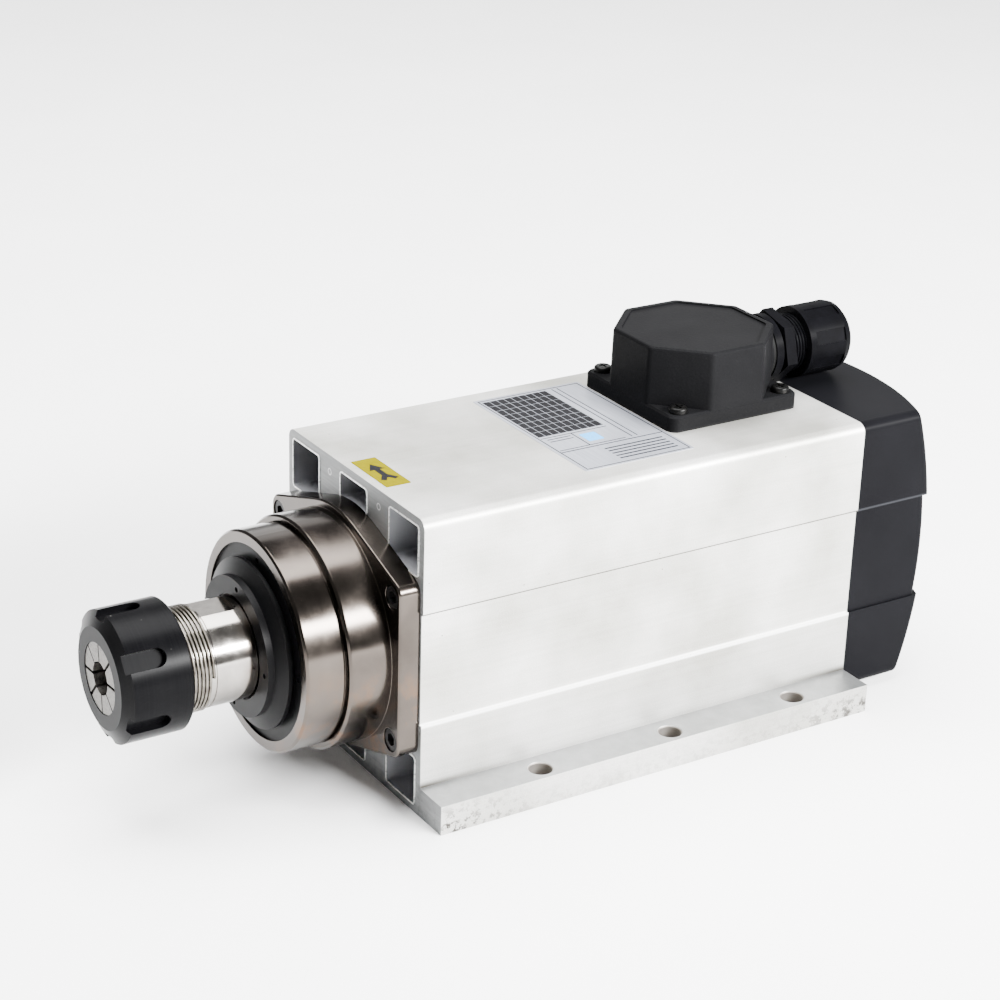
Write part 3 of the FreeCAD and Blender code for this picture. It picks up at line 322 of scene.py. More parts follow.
torn, tree, shader, place = finish("torn_bright_aluminium", 0.7, 0.4)
mottled(tree, shader, place, per_metre=900.0, stops=[(0.38, "#9C9D9E"), (0.5, "#F4F4F2")], roughness=0.7)
channel_shapes = [(side * corner_x, spindle_axis_z + up * corner_rise, corner_width, corner_depth)
                  for side in (-1, 1) for up in (-1, 1)]
channel_shapes.extend((0.0, spindle_axis_z + up * middle_rise, middle_width, middle_depth) for up in (-1, 1))
rims = []
for middle_x, middle_z, width, depth in channel_shapes:
    bpy.ops.object.select_all(action="DESELECT")
    bpy.ops.mesh.primitive_plane_add(size=1.0, rotation=(math.pi / 2, 0, 0),
                                     location=(middle_x, front_face_y, middle_z))
    rim = bpy.context.object
    rim.scale = (width + 2 * rim_width, depth + 2 * rim_width, 1.0)
    settle()
    bpy.ops.object.mode_set(mode="EDIT")
    bpy.ops.mesh.bevel(offset=channel_round + rim_width, segments=5, affect="VERTICES")
    bpy.ops.mesh.select_all(action="SELECT")
    bpy.ops.mesh.inset(thickness=rim_width, depth=0.0)
    pick_faces(rim, lambda face: len(face.vertices) > 4)
    bpy.ops.mesh.delete(type="ONLY_FACE")
    bpy.ops.mesh.select_all(action="SELECT")
    bpy.ops.mesh.extrude_region_move(TRANSFORM_OT_translate={"value": (0, -rim_height, 0)})
    bpy.ops.mesh.select_all(action="SELECT")
    bpy.ops.mesh.normals_make_consistent(inside=False)
    bpy.ops.object.mode_set(mode="OBJECT")
    rims.append(rim)
front_rims = joined("saw_rims_front", rims)
front_rims.data.materials.append(torn)
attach(front_rims, "housing")

# Rating plate: brushed aluminium foil with a printed frame, stuck on in front of the terminal box.
# It carries an empty table, plain fields and empty ruled lines only.
foil_thickness = 0.00010
plate_low = Vector((-0.0415, -0.031, body_top))
plate_high = Vector((0.040, 0.019, body_top + foil_thickness))
plate_corner = 0.0006
brush_lines_per_metre = 2500.0
brush_run = 60.0


def slab(name, low, high, corner, segments):
    """Flat sheet between two corners, its upright edges rounded."""
    bpy.ops.object.select_all(action="DESELECT")
    bpy.ops.mesh.primitive_cube_add(size=1.0, location=(low + high) / 2, scale=high - low)
    piece = bpy.context.object
    piece.name = name
    settle()
    bpy.ops.object.mode_set(mode="EDIT")
    bpy.ops.mesh.select_all(action="DESELECT")
    bpy.ops.object.mode_set(mode="OBJECT")
    for edge in piece.data.edges:
        first, second = [piece.data.vertices[index].co for index in edge.vertices]
        edge.select = abs(first.z - second.z) > (high.z - low.z) / 2
    bpy.ops.object.mode_set(mode="EDIT")
    bpy.ops.mesh.select_mode(type="EDGE")
    bpy.ops.mesh.bevel(offset=corner, segments=segments)
    bpy.ops.object.mode_set(mode="OBJECT")
    return piece


plate = slab("rating_plate", plate_low, plate_high, plate_corner, 3)
foil, tree, shader, place = finish("brushed_silver_foil", 0.5, 0.4, 0.3)
brushed = add(tree, "ShaderNodeMapping", {"Scale": (brush_run, brush_lines_per_metre, brush_run)},
              {"Vector": place})
mottled(tree, shader, brushed.outputs["Vector"], per_metre=1.0,
        stops=[(0.3, "#8D9098"), (0.7, "#9EA1AA")], detail=2.0)
plate.data.materials.append(foil)
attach(plate, "housing")

# Print on the plate: screen ink in charcoal, with one pale blue field.
# The cells of the table are dark and the rules between them are bare foil.
print_height = 0.00003
ink, tree, shader, place = finish("charcoal_screen_ink", 0.0, 0.6, 0.08)
mottled(tree, shader, place, per_metre=900.0, stops=[(0.35, "#0C0C0E"), (0.65, "#131316")], detail=2.0)
blue_ink, tree, shader, place = finish("pale_blue_screen_ink", 0.0, 0.5, 0.1)
mottled(tree, shader, place, per_metre=900.0, stops=[(0.35, "#3E93D2"), (0.65, "#4B9DD9")], detail=2.0)
table_low = Vector((-0.0385, -0.0285))
table_high = Vector((0.0035, 0.0015))
table_columns = 8
table_rows = 9
rule = 0.00024
line_grow = 0.00009
cell_width = (table_high.x - table_low.x) / table_columns
cell_depth = (table_high.y - table_low.y) / table_rows
prints = []
for column in range(table_columns):
    for row in range(table_rows):
        low = Vector((table_low.x + column * cell_width + rule / 2,
                      table_low.y + row * cell_depth + rule / 2, plate_high.z))
        high = low + Vector((cell_width - rule, cell_depth - rule, print_height))
        prints.append(slab("cell", low, high, rule / 4, 1))
# Each rule is the two corners of a thin bar: the frame, two inner frames and empty ruled lines.
bars = [(-0.0400, -0.0295, 0.0385, -0.0292), (-0.0400, 0.0175, 0.0385, 0.0178),
        (0.0203, -0.0295, 0.0207, 0.0178), (-0.0385, 0.0045, 0.0185, 0.0048),
        (-0.0385, 0.0070, 0.0185, 0.0073), (-0.0400, -0.0295, -0.0397, 0.0178),
        (0.0385, -0.0295, 0.0388, 0.0178), (0.0050, -0.0285, 0.0053, 0.0015),
        (0.0185, -0.0285, 0.0188, 0.0015), (0.0053, -0.0150, 0.0185, -0.0147)]
long_step = 0.0026
short_step = 0.0022
bars.extend((0.0243 + long_step * line, -0.0120, 0.0250 + long_step * line, 0.0145) for line in range(5))
bars.extend((0.0070 + short_step * line, -0.0268, 0.0074 + short_step * line, -0.0165) for line in range(2))
for x_low, y_low, x_high, y_high in bars:
    prints.append(slab("rule", Vector((x_low - line_grow, y_low - line_grow, plate_high.z)),
                       Vector((x_high + line_grow, y_high + line_grow, plate_high.z + print_height)),
                       rule / 4, 1))
plate_print = joined("rating_plate_table", prints)
plate_print.data.materials.append(ink)
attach(plate_print, "housing")
field_low = Vector((0.0078, -0.0130, plate_high.z))
field_high = Vector((0.0155, -0.0060, plate_high.z + print_height))
field = slab("rating_plate_field", field_low, field_high, plate_corner, 3)
field.data.materials.append(blue_ink)
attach(field, "housing")

# Direction label: yellow vinyl with a black arrow that shows which way the shaft turns.
# It is cut with small round corners and stuck down at the front edge of the top.
label_low = Vector((-0.009, -0.1040, body_top))
label_high = Vector((0.0185, -0.0936, body_top + foil_thickness))
label_corner = 0.0004
label = slab("direction_label", label_low, label_high, label_corner, 2)
vinyl, tree, shader, place = finish("yellow_vinyl", 0.0, 0.6, 0.0)
mottled(tree, shader, place, per_metre=350.0, stops=[(0.3, "#605900"), (0.7, "#686100")])
label.data.materials.append(vinyl)
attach(label, "housing")
arrow_x = 0.0047
arrow_middle = Vector((arrow_x, (label_low.y + label_high.y) / 2, label_high.z + print_height / 2))
arrow_length = 0.0165
arrow_shaft = 0.0024
arrow_head = 0.0062
arrow_head_length = 0.0056
tail_length = 0.0052
tail_width = 0.0021
tail_angle = math.radians(32)
# Strokes of the arrow that cross lie one over the other, and the bar starts inside the head.
overlap_lift = 0.00001
half_print = Vector((0, 0, print_height / 2))
bar_low = Vector((arrow_head_length * 0.9 - arrow_length / 2, -arrow_shaft / 2, 0)) - half_print
bar_high = Vector((arrow_length / 2 - tail_length / 2, arrow_shaft / 2, 0)) + half_print
arrow_parts = [slab("bar", arrow_middle + bar_low, arrow_middle + bar_high, rule / 4, 1)]
bpy.ops.object.select_all(action="DESELECT")
bpy.ops.mesh.primitive_cylinder_add(vertices=3, radius=1.0, depth=print_height,
                                    rotation=(0, 0, math.pi / 2), location=(0, 0, 0))
arrow_tip = bpy.context.object
settle()
# A triangle of radius 1 is 1.5 long and 1.732 wide.
triangle_length = 1.5
triangle_width = 1.732
arrow_tip.scale = (arrow_head_length / triangle_length, arrow_head / triangle_width, 1.0)
arrow_tip.location = arrow_middle + Vector((arrow_head_length / triangle_length - arrow_length / 2, 0,
                                            overlap_lift))
settle()
arrow_parts.append(arrow_tip)
for side in (-1, 1):
    flight = slab("flight", Vector((0, -tail_width / 2, 0)) - half_print,
                  Vector((tail_length, tail_width / 2, 0)) + half_print, rule / 4, 1)
    flight.rotation_euler = (0, 0, side * tail_angle)
    flight.location = arrow_middle + Vector((arrow_length / 2 - tail_length, 0, overlap_lift * (2 + side)))
    settle()
    arrow_parts.append(flight)
arrow = joined("direction_arrow", arrow_parts)
arrow.data.materials.append(ink)
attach(arrow, "housing")

# Motor: cores of stacked steel sheet, the outer one pressed into the bore, the inner one on the shaft.
# The winding heads are enamelled copper wire, laced and dipped in varnish.
stacked, tree, shader, place = finish("stacked_electrical_steel", 0.85, 0.45)
# Each drawn band is about 3 mm wide and stands for six sheets.
sheets = add(tree, "ShaderNodeTexWave", {"wave_type": "BANDS", "bands_direction": "Y",
                                         "Scale": 100.0, "Distortion": 0.4}, {"Vector": place})
stacked_tint = add(tree, "ShaderNodeValToRGB", {"stops": [(0.1, "#5E5F63"), (0.6, "#83848A")]},
                   {"Fac": sheets.outputs["Fac"]})
tree.links.new(stacked_tint.outputs["Color"], shader.inputs["Base Color"])
for node in ("stator_core", "rotor_core"):
    dress(node, stacked)


def turned_rings(tree, place, feed):
    """Noise that depends only on the radius and the station along Y, for rings left by a lathe."""
    parts = add(tree, "ShaderNodeSeparateXYZ", {}, {"Vector": place})
    centred = add(tree, "ShaderNodeMath", {"operation": "SUBTRACT", 1: spindle_axis_z},
                  {0: parts.outputs["Z"]})
    flat = add(tree, "ShaderNodeCombineXYZ", {}, {"X": parts.outputs["X"], "Y": centred.outputs["Value"]})
    radius = add(tree, "ShaderNodeVectorMath", {"operation": "LENGTH"}, {"Vector": flat.outputs["Vector"]})
    pair = add(tree, "ShaderNodeCombineXYZ", {}, {"X": radius.outputs["Value"], "Y": parts.outputs["Y"]})
    return add(tree, "ShaderNodeTexNoise", {"Scale": 1 / feed, "Detail": 2.0, "Roughness": 0.6},
               {"Vector": pair.outputs["Vector"]})


wire = 0.0008
copper, tree, shader, place = finish("enamelled_copper_wire", 0.8, 0.35)
rings = turned_rings(tree, place, wire)
copper_tint = add(tree, "ShaderNodeValToRGB", {"stops": [(0.35, "#6B3316"), (0.65, "#B4632E")]},
                  {"Fac": rings.outputs["Fac"]})
tree.links.new(copper_tint.outputs["Color"], shader.inputs["Base Color"])
bump = add(tree, "ShaderNodeBump", {"Strength": 0.6, "Distance": 0.0003}, {"Height": rings.outputs["Fac"]})
tree.links.new(bump.outputs["Normal"], shader.inputs["Normal"])
dress("stator_windings", copper)

# Front bearing housing: turned steel under black nickel, which mirrors the room dimly.
# The lathe leaves fine rings on faces and bands, and brown oil has dried on its lower right side.
turning_feed = 0.00035
hazes_per_metre = 38.0
smears_per_metre = 75.0
oil_top, oil_full = 0.066, 0.030
oil_inner, oil_outer = 0.012, 0.036
edge_round = 0.0004
nickel, tree, shader, place = finish("black_nickel_plating", 1.0, 0.2)
parts = add(tree, "ShaderNodeSeparateXYZ", {}, {"Vector": place})
rings = turned_rings(tree, place, turning_feed)
haze = add(tree, "ShaderNodeTexNoise", {"Scale": hazes_per_metre, "Detail": 5.0, "Roughness": 0.6},
           {"Vector": place})
plating = add(tree, "ShaderNodeValToRGB", {"stops": [(0.3, "#3F3A36"), (0.7, "#504A45")]},
              {"Fac": haze.outputs["Fac"]})
lower = add(tree, "ShaderNodeMapRange", {"From Min": oil_top, "From Max": oil_full},
            {"Value": parts.outputs["Z"]})
outer = add(tree, "ShaderNodeMapRange", {"From Min": oil_inner, "From Max": oil_outer},
            {"Value": parts.outputs["X"]})
oily_side = add(tree, "ShaderNodeMath", {"operation": "MULTIPLY"},
                {0: lower.outputs["Result"], 1: outer.outputs["Result"]})
smears = add(tree, "ShaderNodeTexNoise", {"Scale": smears_per_metre, "Detail": 6.0, "Roughness": 0.7},
             {"Vector": place})
dried = add(tree, "ShaderNodeMapRange", {"From Min": 0.50, "From Max": 0.68},
            {"Value": smears.outputs["Fac"]})
oil = add(tree, "ShaderNodeMath", {"operation": "MULTIPLY"},
          {0: oily_side.outputs["Value"], 1: dried.outputs["Result"]})
plated = add(tree, "ShaderNodeMix", {"data_type": "RGBA", 7: linear("#6B4A2F")},
             {0: oil.outputs["Value"], 6: plating.outputs["Color"]})
tree.links.new(plated.outputs[2], shader.inputs["Base Color"])
dull = add(tree, "ShaderNodeMapRange", {"From Min": 0.3, "From Max": 0.7, "To Min": 0.13, "To Max": 0.24},
           {"Value": haze.outputs["Fac"]})
tree.links.new(dull.outputs["Result"], shader.inputs["Roughness"])
broken_edge = add(tree, "ShaderNodeBevel", {"samples": 6, "Radius": edge_round}, {})
bump = add(tree, "ShaderNodeBump", {"Strength": 0.07, "Distance": 0.00004},
           {"Height": rings.outputs["Fac"], "Normal": broken_edge.outputs["Normal"]})
tree.links.new(bump.outputs["Normal"], shader.inputs["Normal"])
dress("front_bearing_housing", nickel)

# Flange screws: alloy steel socket heads with a black oxide skin, rubbed paler in places.
# Eight of them hold the front housing and the rear shield to the extrusion.
screw_black, tree, shader, place = finish("black_oxide_screws", 0.5, 0.4, 0.2)
mottled(tree, shader, place, per_metre=420.0, stops=[(0.45, "#0D0D0E"), (0.8, "#2A2827")], detail=4.0)
dress("flange_screws", screw_black)

# Bearings: chrome steel rings, ground bright, with balls in moulded cages of cotton-filled resin.
# The front pair carries the cutting load, and the rear one runs in the shield.
race_feed = 0.0003
bearing_bright, tree, shader, place = finish("ground_bearing_steel", 1.0, 0.2)
rings = turned_rings(tree, place, race_feed)
bearing_tint = add(tree, "ShaderNodeValToRGB", {"stops": [(0.3, "#C2C2C2"), (0.7, "#D2D2D2")]},
                   {"Fac": rings.outputs["Fac"]})
tree.links.new(bearing_tint.outputs["Color"], shader.inputs["Base Color"])
for node in ("bearing_outer_rings", "bearing_inner_rings"):
    dress(node, bearing_bright)
cage_resin, tree, shader, place = finish("cotton_filled_phenolic", 0.0, 0.5)
mottled(tree, shader, place, per_metre=1500.0, stops=[(0.3, "#8A6A3C"), (0.7, "#A07E4A")])
for node in ("front_bearing_cages", "rear_bearing_cage"):
    dress(node, cage_resin)

# Labyrinth disc, retaining ring and locknut: turned steel, blackened in hot salts and oiled.
# The rings of the lathe show through the black as faint arcs.
disc_feed = 0.0005
blackened, tree, shader, place = finish("blackened_turned_steel", 0.0, 0.4, 0.06)
rings = turned_rings(tree, place, disc_feed)
black_tint = add(tree, "ShaderNodeValToRGB", {"stops": [(0.3, "#050506"), (0.75, "#09090A")]},
                 {"Fac": rings.outputs["Fac"]})
tree.links.new(black_tint.outputs["Color"], shader.inputs["Base Color"])
bump = add(tree, "ShaderNodeBump", {"Strength": 0.12, "Distance": 0.00004}, {"Height": rings.outputs["Fac"]})
tree.links.new(bump.outputs["Normal"], shader.inputs["Normal"])
for node in ("labyrinth_disc", "bearing_retaining_ring", "shaft_locknut"):
    dress(node, blackened)

# Spindle shaft: hardened steel, ground and polished, so the neck mirrors the studio.
# Fine grinding rings run round it, and rust dust lies next to the disc.
grinding = 0.00025
stains_per_metre = 90.0
rust_front_y = front_face_y - 0.0575
disc_front_y = front_face_y - 0.0505
polished, tree, shader, place = finish("polished_hardened_steel", 1.0, 0.12)
parts = add(tree, "ShaderNodeSeparateXYZ", {}, {"Vector": place})
rings = turned_rings(tree, place, grinding)
cloudy = add(tree, "ShaderNodeTexNoise", {"Scale": stains_per_metre, "Detail": 5.0, "Roughness": 0.65},
             {"Vector": place})
steel_tint = add(tree, "ShaderNodeValToRGB", {"stops": [(0.3, "#7D7975"), (0.7, "#9A9691")]},
                 {"Fac": cloudy.outputs["Fac"]})
near_disc = add(tree, "ShaderNodeMapRange", {"From Min": rust_front_y, "From Max": disc_front_y},
                {"Value": parts.outputs["Y"]})
spots = add(tree, "ShaderNodeMapRange", {"From Min": 0.45, "From Max": 0.62},
            {"Value": cloudy.outputs["Fac"]})
rusty = add(tree, "ShaderNodeMath", {"operation": "MULTIPLY"},
            {0: near_disc.outputs["Result"], 1: spots.outputs["Result"]})
steel = add(tree, "ShaderNodeMix", {"data_type": "RGBA", 7: linear("#5E5044")},
            {0: rusty.outputs["Value"], 6: steel_tint.outputs["Color"]})
tree.links.new(steel.outputs[2], shader.inputs["Base Color"])
smooth = add(tree, "ShaderNodeMapRange", {"From Min": 0.35, "From Max": 0.7, "To Min": 0.07, "To Max": 0.2},
             {"Value": cloudy.outputs["Fac"]})
tree.links.new(smooth.outputs["Result"], shader.inputs["Roughness"])
bump = add(tree, "ShaderNodeBump", {"Strength": 0.06, "Distance": 0.00003}, {"Height": rings.outputs["Fac"]})
tree.links.new(bump.outputs["Normal"], shader.inputs["Normal"])
dress("spindle_shaft", polished)

# Collet thread: fine metric thread of 1.5 mm pitch, rolled on the shaft's front end.
# The CAD shaft is at root size there, so the crests are one wound ridge.
thread_pitch = 0.0015
thread_root, thread_crest = 0.01905, 0.0200
thread_start_y = front_face_y - 0.0943
thread_turns = 18
thread_steps = 72


def wound_ridge(name, root, crest, start, turns, pitch, centre, steps):
    """Thread crest: a triangle wound round a line along Y, closed at both ends."""
    bpy.ops.object.select_all(action="DESELECT")
    bpy.ops.mesh.primitive_circle_add(vertices=3, radius=1.0, rotation=(0, 0, -math.pi / 2),
                                      location=(0, 0, 0))
    ridge = bpy.context.object
    ridge.name = name
    settle()
    ridge.scale = ((crest - root) / triangle_length, pitch / triangle_width, 1.0)
    ridge.location = (root + (crest - root) / 3, 0, 0)
    settle()
    winding = ridge.modifiers.new("winding", "SCREW")
    winding.axis = "Y"
    winding.screw_offset = pitch
    winding.iterations = turns
    winding.steps = steps
    winding.render_steps = steps
    winding.use_merge_vertices = False
    bpy.ops.object.modifier_apply(modifier="winding")
    bpy.ops.object.mode_set(mode="EDIT")
    bpy.ops.mesh.select_all(action="SELECT")
    bpy.ops.mesh.fill_holes(sides=3)
    bpy.ops.mesh.select_all(action="SELECT")
    bpy.ops.mesh.normals_make_consistent(inside=False)
    bpy.ops.object.mode_set(mode="OBJECT")
    ridge.location = (centre[0], start, centre[1])
    settle()
    return ridge


collet_thread = wound_ridge("collet_thread", thread_root, thread_crest, thread_start_y, thread_turns,
                            thread_pitch, (0.0, spindle_axis_z), thread_steps)
rolled, tree, shader, place = finish("rolled_steel_thread", 1.0, 0.36)
mottled(tree, shader, place, per_metre=260.0, stops=[(0.35, "#4C4741"), (0.55, "#79746C")],
        detail=5.0, roughness=0.7)
collet_thread.data.materials.append(rolled)
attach(collet_thread, "rotor")

# Collet: spring steel, hardened, ground and slit eight times from the front.
# It is shot-blasted grey, and painted shade darkens the slits and their edges.
slit_count = 8
slit_first_angle = math.radians(4)
slit_shade_width = 0.00036
blast_pits_per_metre = 1100.0
ground, tree, shader, place = finish("blasted_spring_steel", 0.9, 0.42)
parts = add(tree, "ShaderNodeSeparateXYZ", {}, {"Vector": place})
dust = add(tree, "ShaderNodeTexNoise", {"Scale": blast_pits_per_metre, "Detail": 4.0, "Roughness": 0.7},
           {"Vector": place})
ground_tint = add(tree, "ShaderNodeValToRGB", {"stops": [(0.36, "#403E3B"), (0.54, "#625F5B")]},
                  {"Fac": dust.outputs["Fac"]})
# The distance to the middle of the nearest slit lays a painted dark line of shade along each slit.
over_axis = add(tree, "ShaderNodeMath", {"operation": "SUBTRACT", 1: spindle_axis_z}, {0: parts.outputs["Z"]})
turn = add(tree, "ShaderNodeMath", {"operation": "ARCTAN2"},
           {0: over_axis.outputs["Value"], 1: parts.outputs["X"]})
from_first = add(tree, "ShaderNodeMath", {"operation": "ADD", 1: math.tau - slit_first_angle},
                 {0: turn.outputs["Value"]})
eighths = add(tree, "ShaderNodeMath", {"operation": "PINGPONG", 1: math.tau / (2 * slit_count)},
              {0: from_first.outputs["Value"]})
spread = add(tree, "ShaderNodeCombineXYZ", {}, {"X": parts.outputs["X"], "Y": over_axis.outputs["Value"]})
from_axis = add(tree, "ShaderNodeVectorMath", {"operation": "LENGTH"}, {"Vector": spread.outputs["Vector"]})
slit_gap = add(tree, "ShaderNodeMath", {"operation": "MULTIPLY"},
               {0: eighths.outputs["Value"], 1: from_axis.outputs["Value"]})
slit_shade_mask = add(tree, "ShaderNodeMapRange", {"From Min": slit_shade_width * 1.3, "From Max": slit_shade_width},
                {"Value": slit_gap.outputs["Value"]})
face_colour = add(tree, "ShaderNodeMix", {"data_type": "RGBA", 7: linear("#0B0A0A")},
                  {0: slit_shade_mask.outputs["Result"], 6: ground_tint.outputs["Color"]})
tree.links.new(face_colour.outputs[2], shader.inputs["Base Color"])
bump = add(tree, "ShaderNodeBump", {"Strength": 0.15, "Distance": 0.00004}, {"Height": dust.outputs["Fac"]})
tree.links.new(bump.outputs["Normal"], shader.inputs["Normal"])
dress("collet", ground)

# Collet nut: case-hardened steel, blackened and oiled to a satin black.
# Fine turning rings run round it, and handling leaves a few pale specks.
nut_feed = 0.0006
chips_per_metre = 210.0
worn_spots_per_metre = 60.0
nut_black, tree, shader, place = finish("oiled_black_oxide", 0.0, 0.29, 0.035)
rings = turned_rings(tree, place, nut_feed)
body_tint = add(tree, "ShaderNodeValToRGB", {"stops": [(0.3, "#030304"), (0.7, "#070708")]},
                {"Fac": rings.outputs["Fac"]})
chips = add(tree, "ShaderNodeTexVoronoi", {"Scale": chips_per_metre}, {"Vector": place})
chip_size = add(tree, "ShaderNodeMapRange", {"From Min": 0.07, "From Max": 0.04},
                {"Value": chips.outputs["Distance"]})
sparse = add(tree, "ShaderNodeTexNoise", {"Scale": worn_spots_per_metre, "Detail": 2.0}, {"Vector": place})
sparse_mask = add(tree, "ShaderNodeMapRange", {"From Min": 0.54, "From Max": 0.58},
                  {"Value": sparse.outputs["Fac"]})
worn = add(tree, "ShaderNodeMath", {"operation": "MULTIPLY"},
           {0: chip_size.outputs["Result"], 1: sparse_mask.outputs["Result"]})
nut_colour = add(tree, "ShaderNodeMix", {"data_type": "RGBA", 7: linear("#454442")},
                 {0: worn.outputs["Value"], 6: body_tint.outputs["Color"]})
tree.links.new(nut_colour.outputs[2], shader.inputs["Base Color"])
bump = add(tree, "ShaderNodeBump", {"Strength": 0.05, "Distance": 0.00003}, {"Height": rings.outputs["Fac"]})
tree.links.new(bump.outputs["Normal"], shader.inputs["Normal"])
dress("collet_nut", nut_black)

# Rear bearing shield: die-cast aluminium, left as cast, with a fine pebbled skin.
# It carries the rear bearing and hides inside the fan cover.
cast_pebble = 0.0009
cast, tree, shader, place = finish("die_cast_aluminium", 0.85, 0.5)
pebbles = mottled(tree, shader, place, per_metre=1 / cast_pebble, stops=[(0.3, "#A9AAAB"), (0.7, "#BCBDBE")])
bump = add(tree, "ShaderNodeBump", {"Strength": 0.3, "Distance": 0.0001}, {"Height": pebbles.outputs["Fac"]})
tree.links.new(bump.outputs["Normal"], shader.inputs["Normal"])
dress("rear_bearing_shield", cast)

# Fan cover: charcoal ABS, injection moulded with a fine spark-eroded grain that kills its gloss.
# The grain's pits are 0.6 mm apart. Four long screws hold it to the extrusion.
cover_grain = 0.0006
cover_clouds_per_metre = 18.0
step_line = 0.0010
cover_plastic, tree, shader, place = finish("spark_grained_abs", 0.0, 0.4, 0.015)
pits = add(tree, "ShaderNodeTexNoise", {"Scale": 1 / cover_grain, "Detail": 2.0}, {"Vector": place})
shade = add(tree, "ShaderNodeTexNoise", {"Scale": cover_clouds_per_metre, "Detail": 3.0}, {"Vector": place})
cover_tint = add(tree, "ShaderNodeValToRGB", {"stops": [(0.3, "#08080A"), (0.7, "#0D0D0F")]},
                 {"Fac": shade.outputs["Fac"]})
# A faint painted highlight lies along the step of the cover, level with the groove of the housing.
cover_parts = add(tree, "ShaderNodeSeparateXYZ", {}, {"Vector": place})
from_step = add(tree, "ShaderNodeMath", {"operation": "SUBTRACT", 1: groove_height},
                {0: cover_parts.outputs["Z"]})
step_gap = add(tree, "ShaderNodeMath", {"operation": "ABSOLUTE"}, {0: from_step.outputs["Value"]})
step_highlight_mask = add(tree, "ShaderNodeMapRange", {"From Min": step_line, "From Max": step_line * 0.3,
                                             "To Max": 0.7}, {"Value": step_gap.outputs["Value"]})
cover_colour = add(tree, "ShaderNodeMix", {"data_type": "RGBA", 7: linear("#2B2C2F")},
                   {0: step_highlight_mask.outputs["Result"], 6: cover_tint.outputs["Color"]})
tree.links.new(cover_colour.outputs[2], shader.inputs["Base Color"])
bump = add(tree, "ShaderNodeBump", {"Strength": 0.25, "Distance": 0.0001}, {"Height": pits.outputs["Fac"]})
tree.links.new(bump.outputs["Normal"], shader.inputs["Normal"])
dress("fan_cover", cover_plastic)

# Cooling fan, terminal block and cable gland: black nylon, matt from the mould.
# The gland body is screwed into the box wall, with its locknut inside.
nylon, tree, shader, place = finish("moulded_black_nylon", 0.0, 0.38, 0.01)
flow = mottled(tree, shader, place, per_metre=160.0, stops=[(0.3, "#050506"), (0.7, "#08080A")], detail=4.0)
bump = add(tree, "ShaderNodeBump", {"Strength": 0.12, "Distance": 0.0001}, {"Height": flow.outputs["Fac"]})
tree.links.new(bump.outputs["Normal"], shader.inputs["Normal"])
for node in ("cooling_fan", "terminal_block", "gland_body", "gland_nut", "gland_locknut"):
    dress(node, nylon)

# Gland thread: the same nylon, moulded with its outer thread in two halves.
# The CAD gland is at root size there, so the crests are one wound ridge.
gland_middle = (-0.0068, 0.1351)
gland_root, gland_crest = 0.01135, 0.0120
gland_thread_length = 0.015
gland_hexagon_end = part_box("gland_body")[1][1] - gland_thread_length
gland_run_out = 0.0008
gland_start_y = gland_hexagon_end + gland_run_out
gland_turns = 4
gland_steps = 60
gland_thread = wound_ridge("gland_thread", gland_root, gland_crest, gland_start_y, gland_turns,
                           thread_pitch, gland_middle, gland_steps)
gland_thread.data.materials.append(nylon)
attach(gland_thread, "housing")

# Terminal box: black ABS with a coarser grain than the fan cover, moulded in one piece.
# Four screws through its ears hold it to the housing on a gasket.
box_grain = 0.0008
box_clouds_per_metre = 30.0
box_plastic, tree, shader, place = finish("coarse_grained_abs", 0.0, 0.4, 0.012)
box_pits = add(tree, "ShaderNodeTexNoise", {"Scale": 1 / box_grain, "Detail": 2.5}, {"Vector": place})
mottled(tree, shader, place, per_metre=box_clouds_per_metre, stops=[(0.3, "#0C0C0D"), (0.7, "#111112")])
bump = add(tree, "ShaderNodeBump", {"Strength": 0.45, "Distance": 0.00015},
           {"Height": box_pits.outputs["Fac"]})
tree.links.new(bump.outputs["Normal"], shader.inputs["Normal"])
dress("terminal_box", box_plastic)

# Gasket, washer and cable seal: black rubber, matt and slightly dusty.
# The gasket is punched from sheet, and the gland nut squeezes the seal when it is turned.
rubber, tree, shader, place = finish("black_nitrile_rubber", 0.0, 0.75, 0.1)
mottled(tree, shader, place, per_metre=240.0, stops=[(0.35, "#070707"), (0.7, "#0C0C0C")], detail=4.0)
for node in ("terminal_box_gasket", "gland_washer", "gland_seal"):
    dress(node, rubber)

# Box screws: pan heads with a cross recess, steel under black zinc, one in each ear of the box.
# They stand in for the plain CAD screws.
screws_low, screws_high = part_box("terminal_box_screws")
pan_radius = 0.0037
pan_height = 0.0024
pan_crown = 0.0012
shank_radius = 0.0019
cross_length = 0.0042
cross_width = 0.0009
cross_depth = 0.0013
smooth_below = math.radians(35)
zinc_black, tree, shader, place = finish("black_zinc_steel", 0.35, 0.34, 0.1)
mottled(tree, shader, place, per_metre=600.0, stops=[(0.5, "#080808"), (0.85, "#1C1B1A")])
dress("fan_cover_screws", zinc_black)
bpy.ops.object.select_all(action="DESELECT")
head_middle = Vector((screws_low[0] + pan_radius, screws_low[1] + pan_radius,
                      screws_high[2] - pan_height / 2))
head_base = screws_high[2] - pan_height
bpy.ops.mesh.primitive_cylinder_add(vertices=40, radius=pan_radius, depth=pan_height, location=head_middle)
screw = bpy.context.object
settle()
bpy.ops.object.mode_set(mode="EDIT")
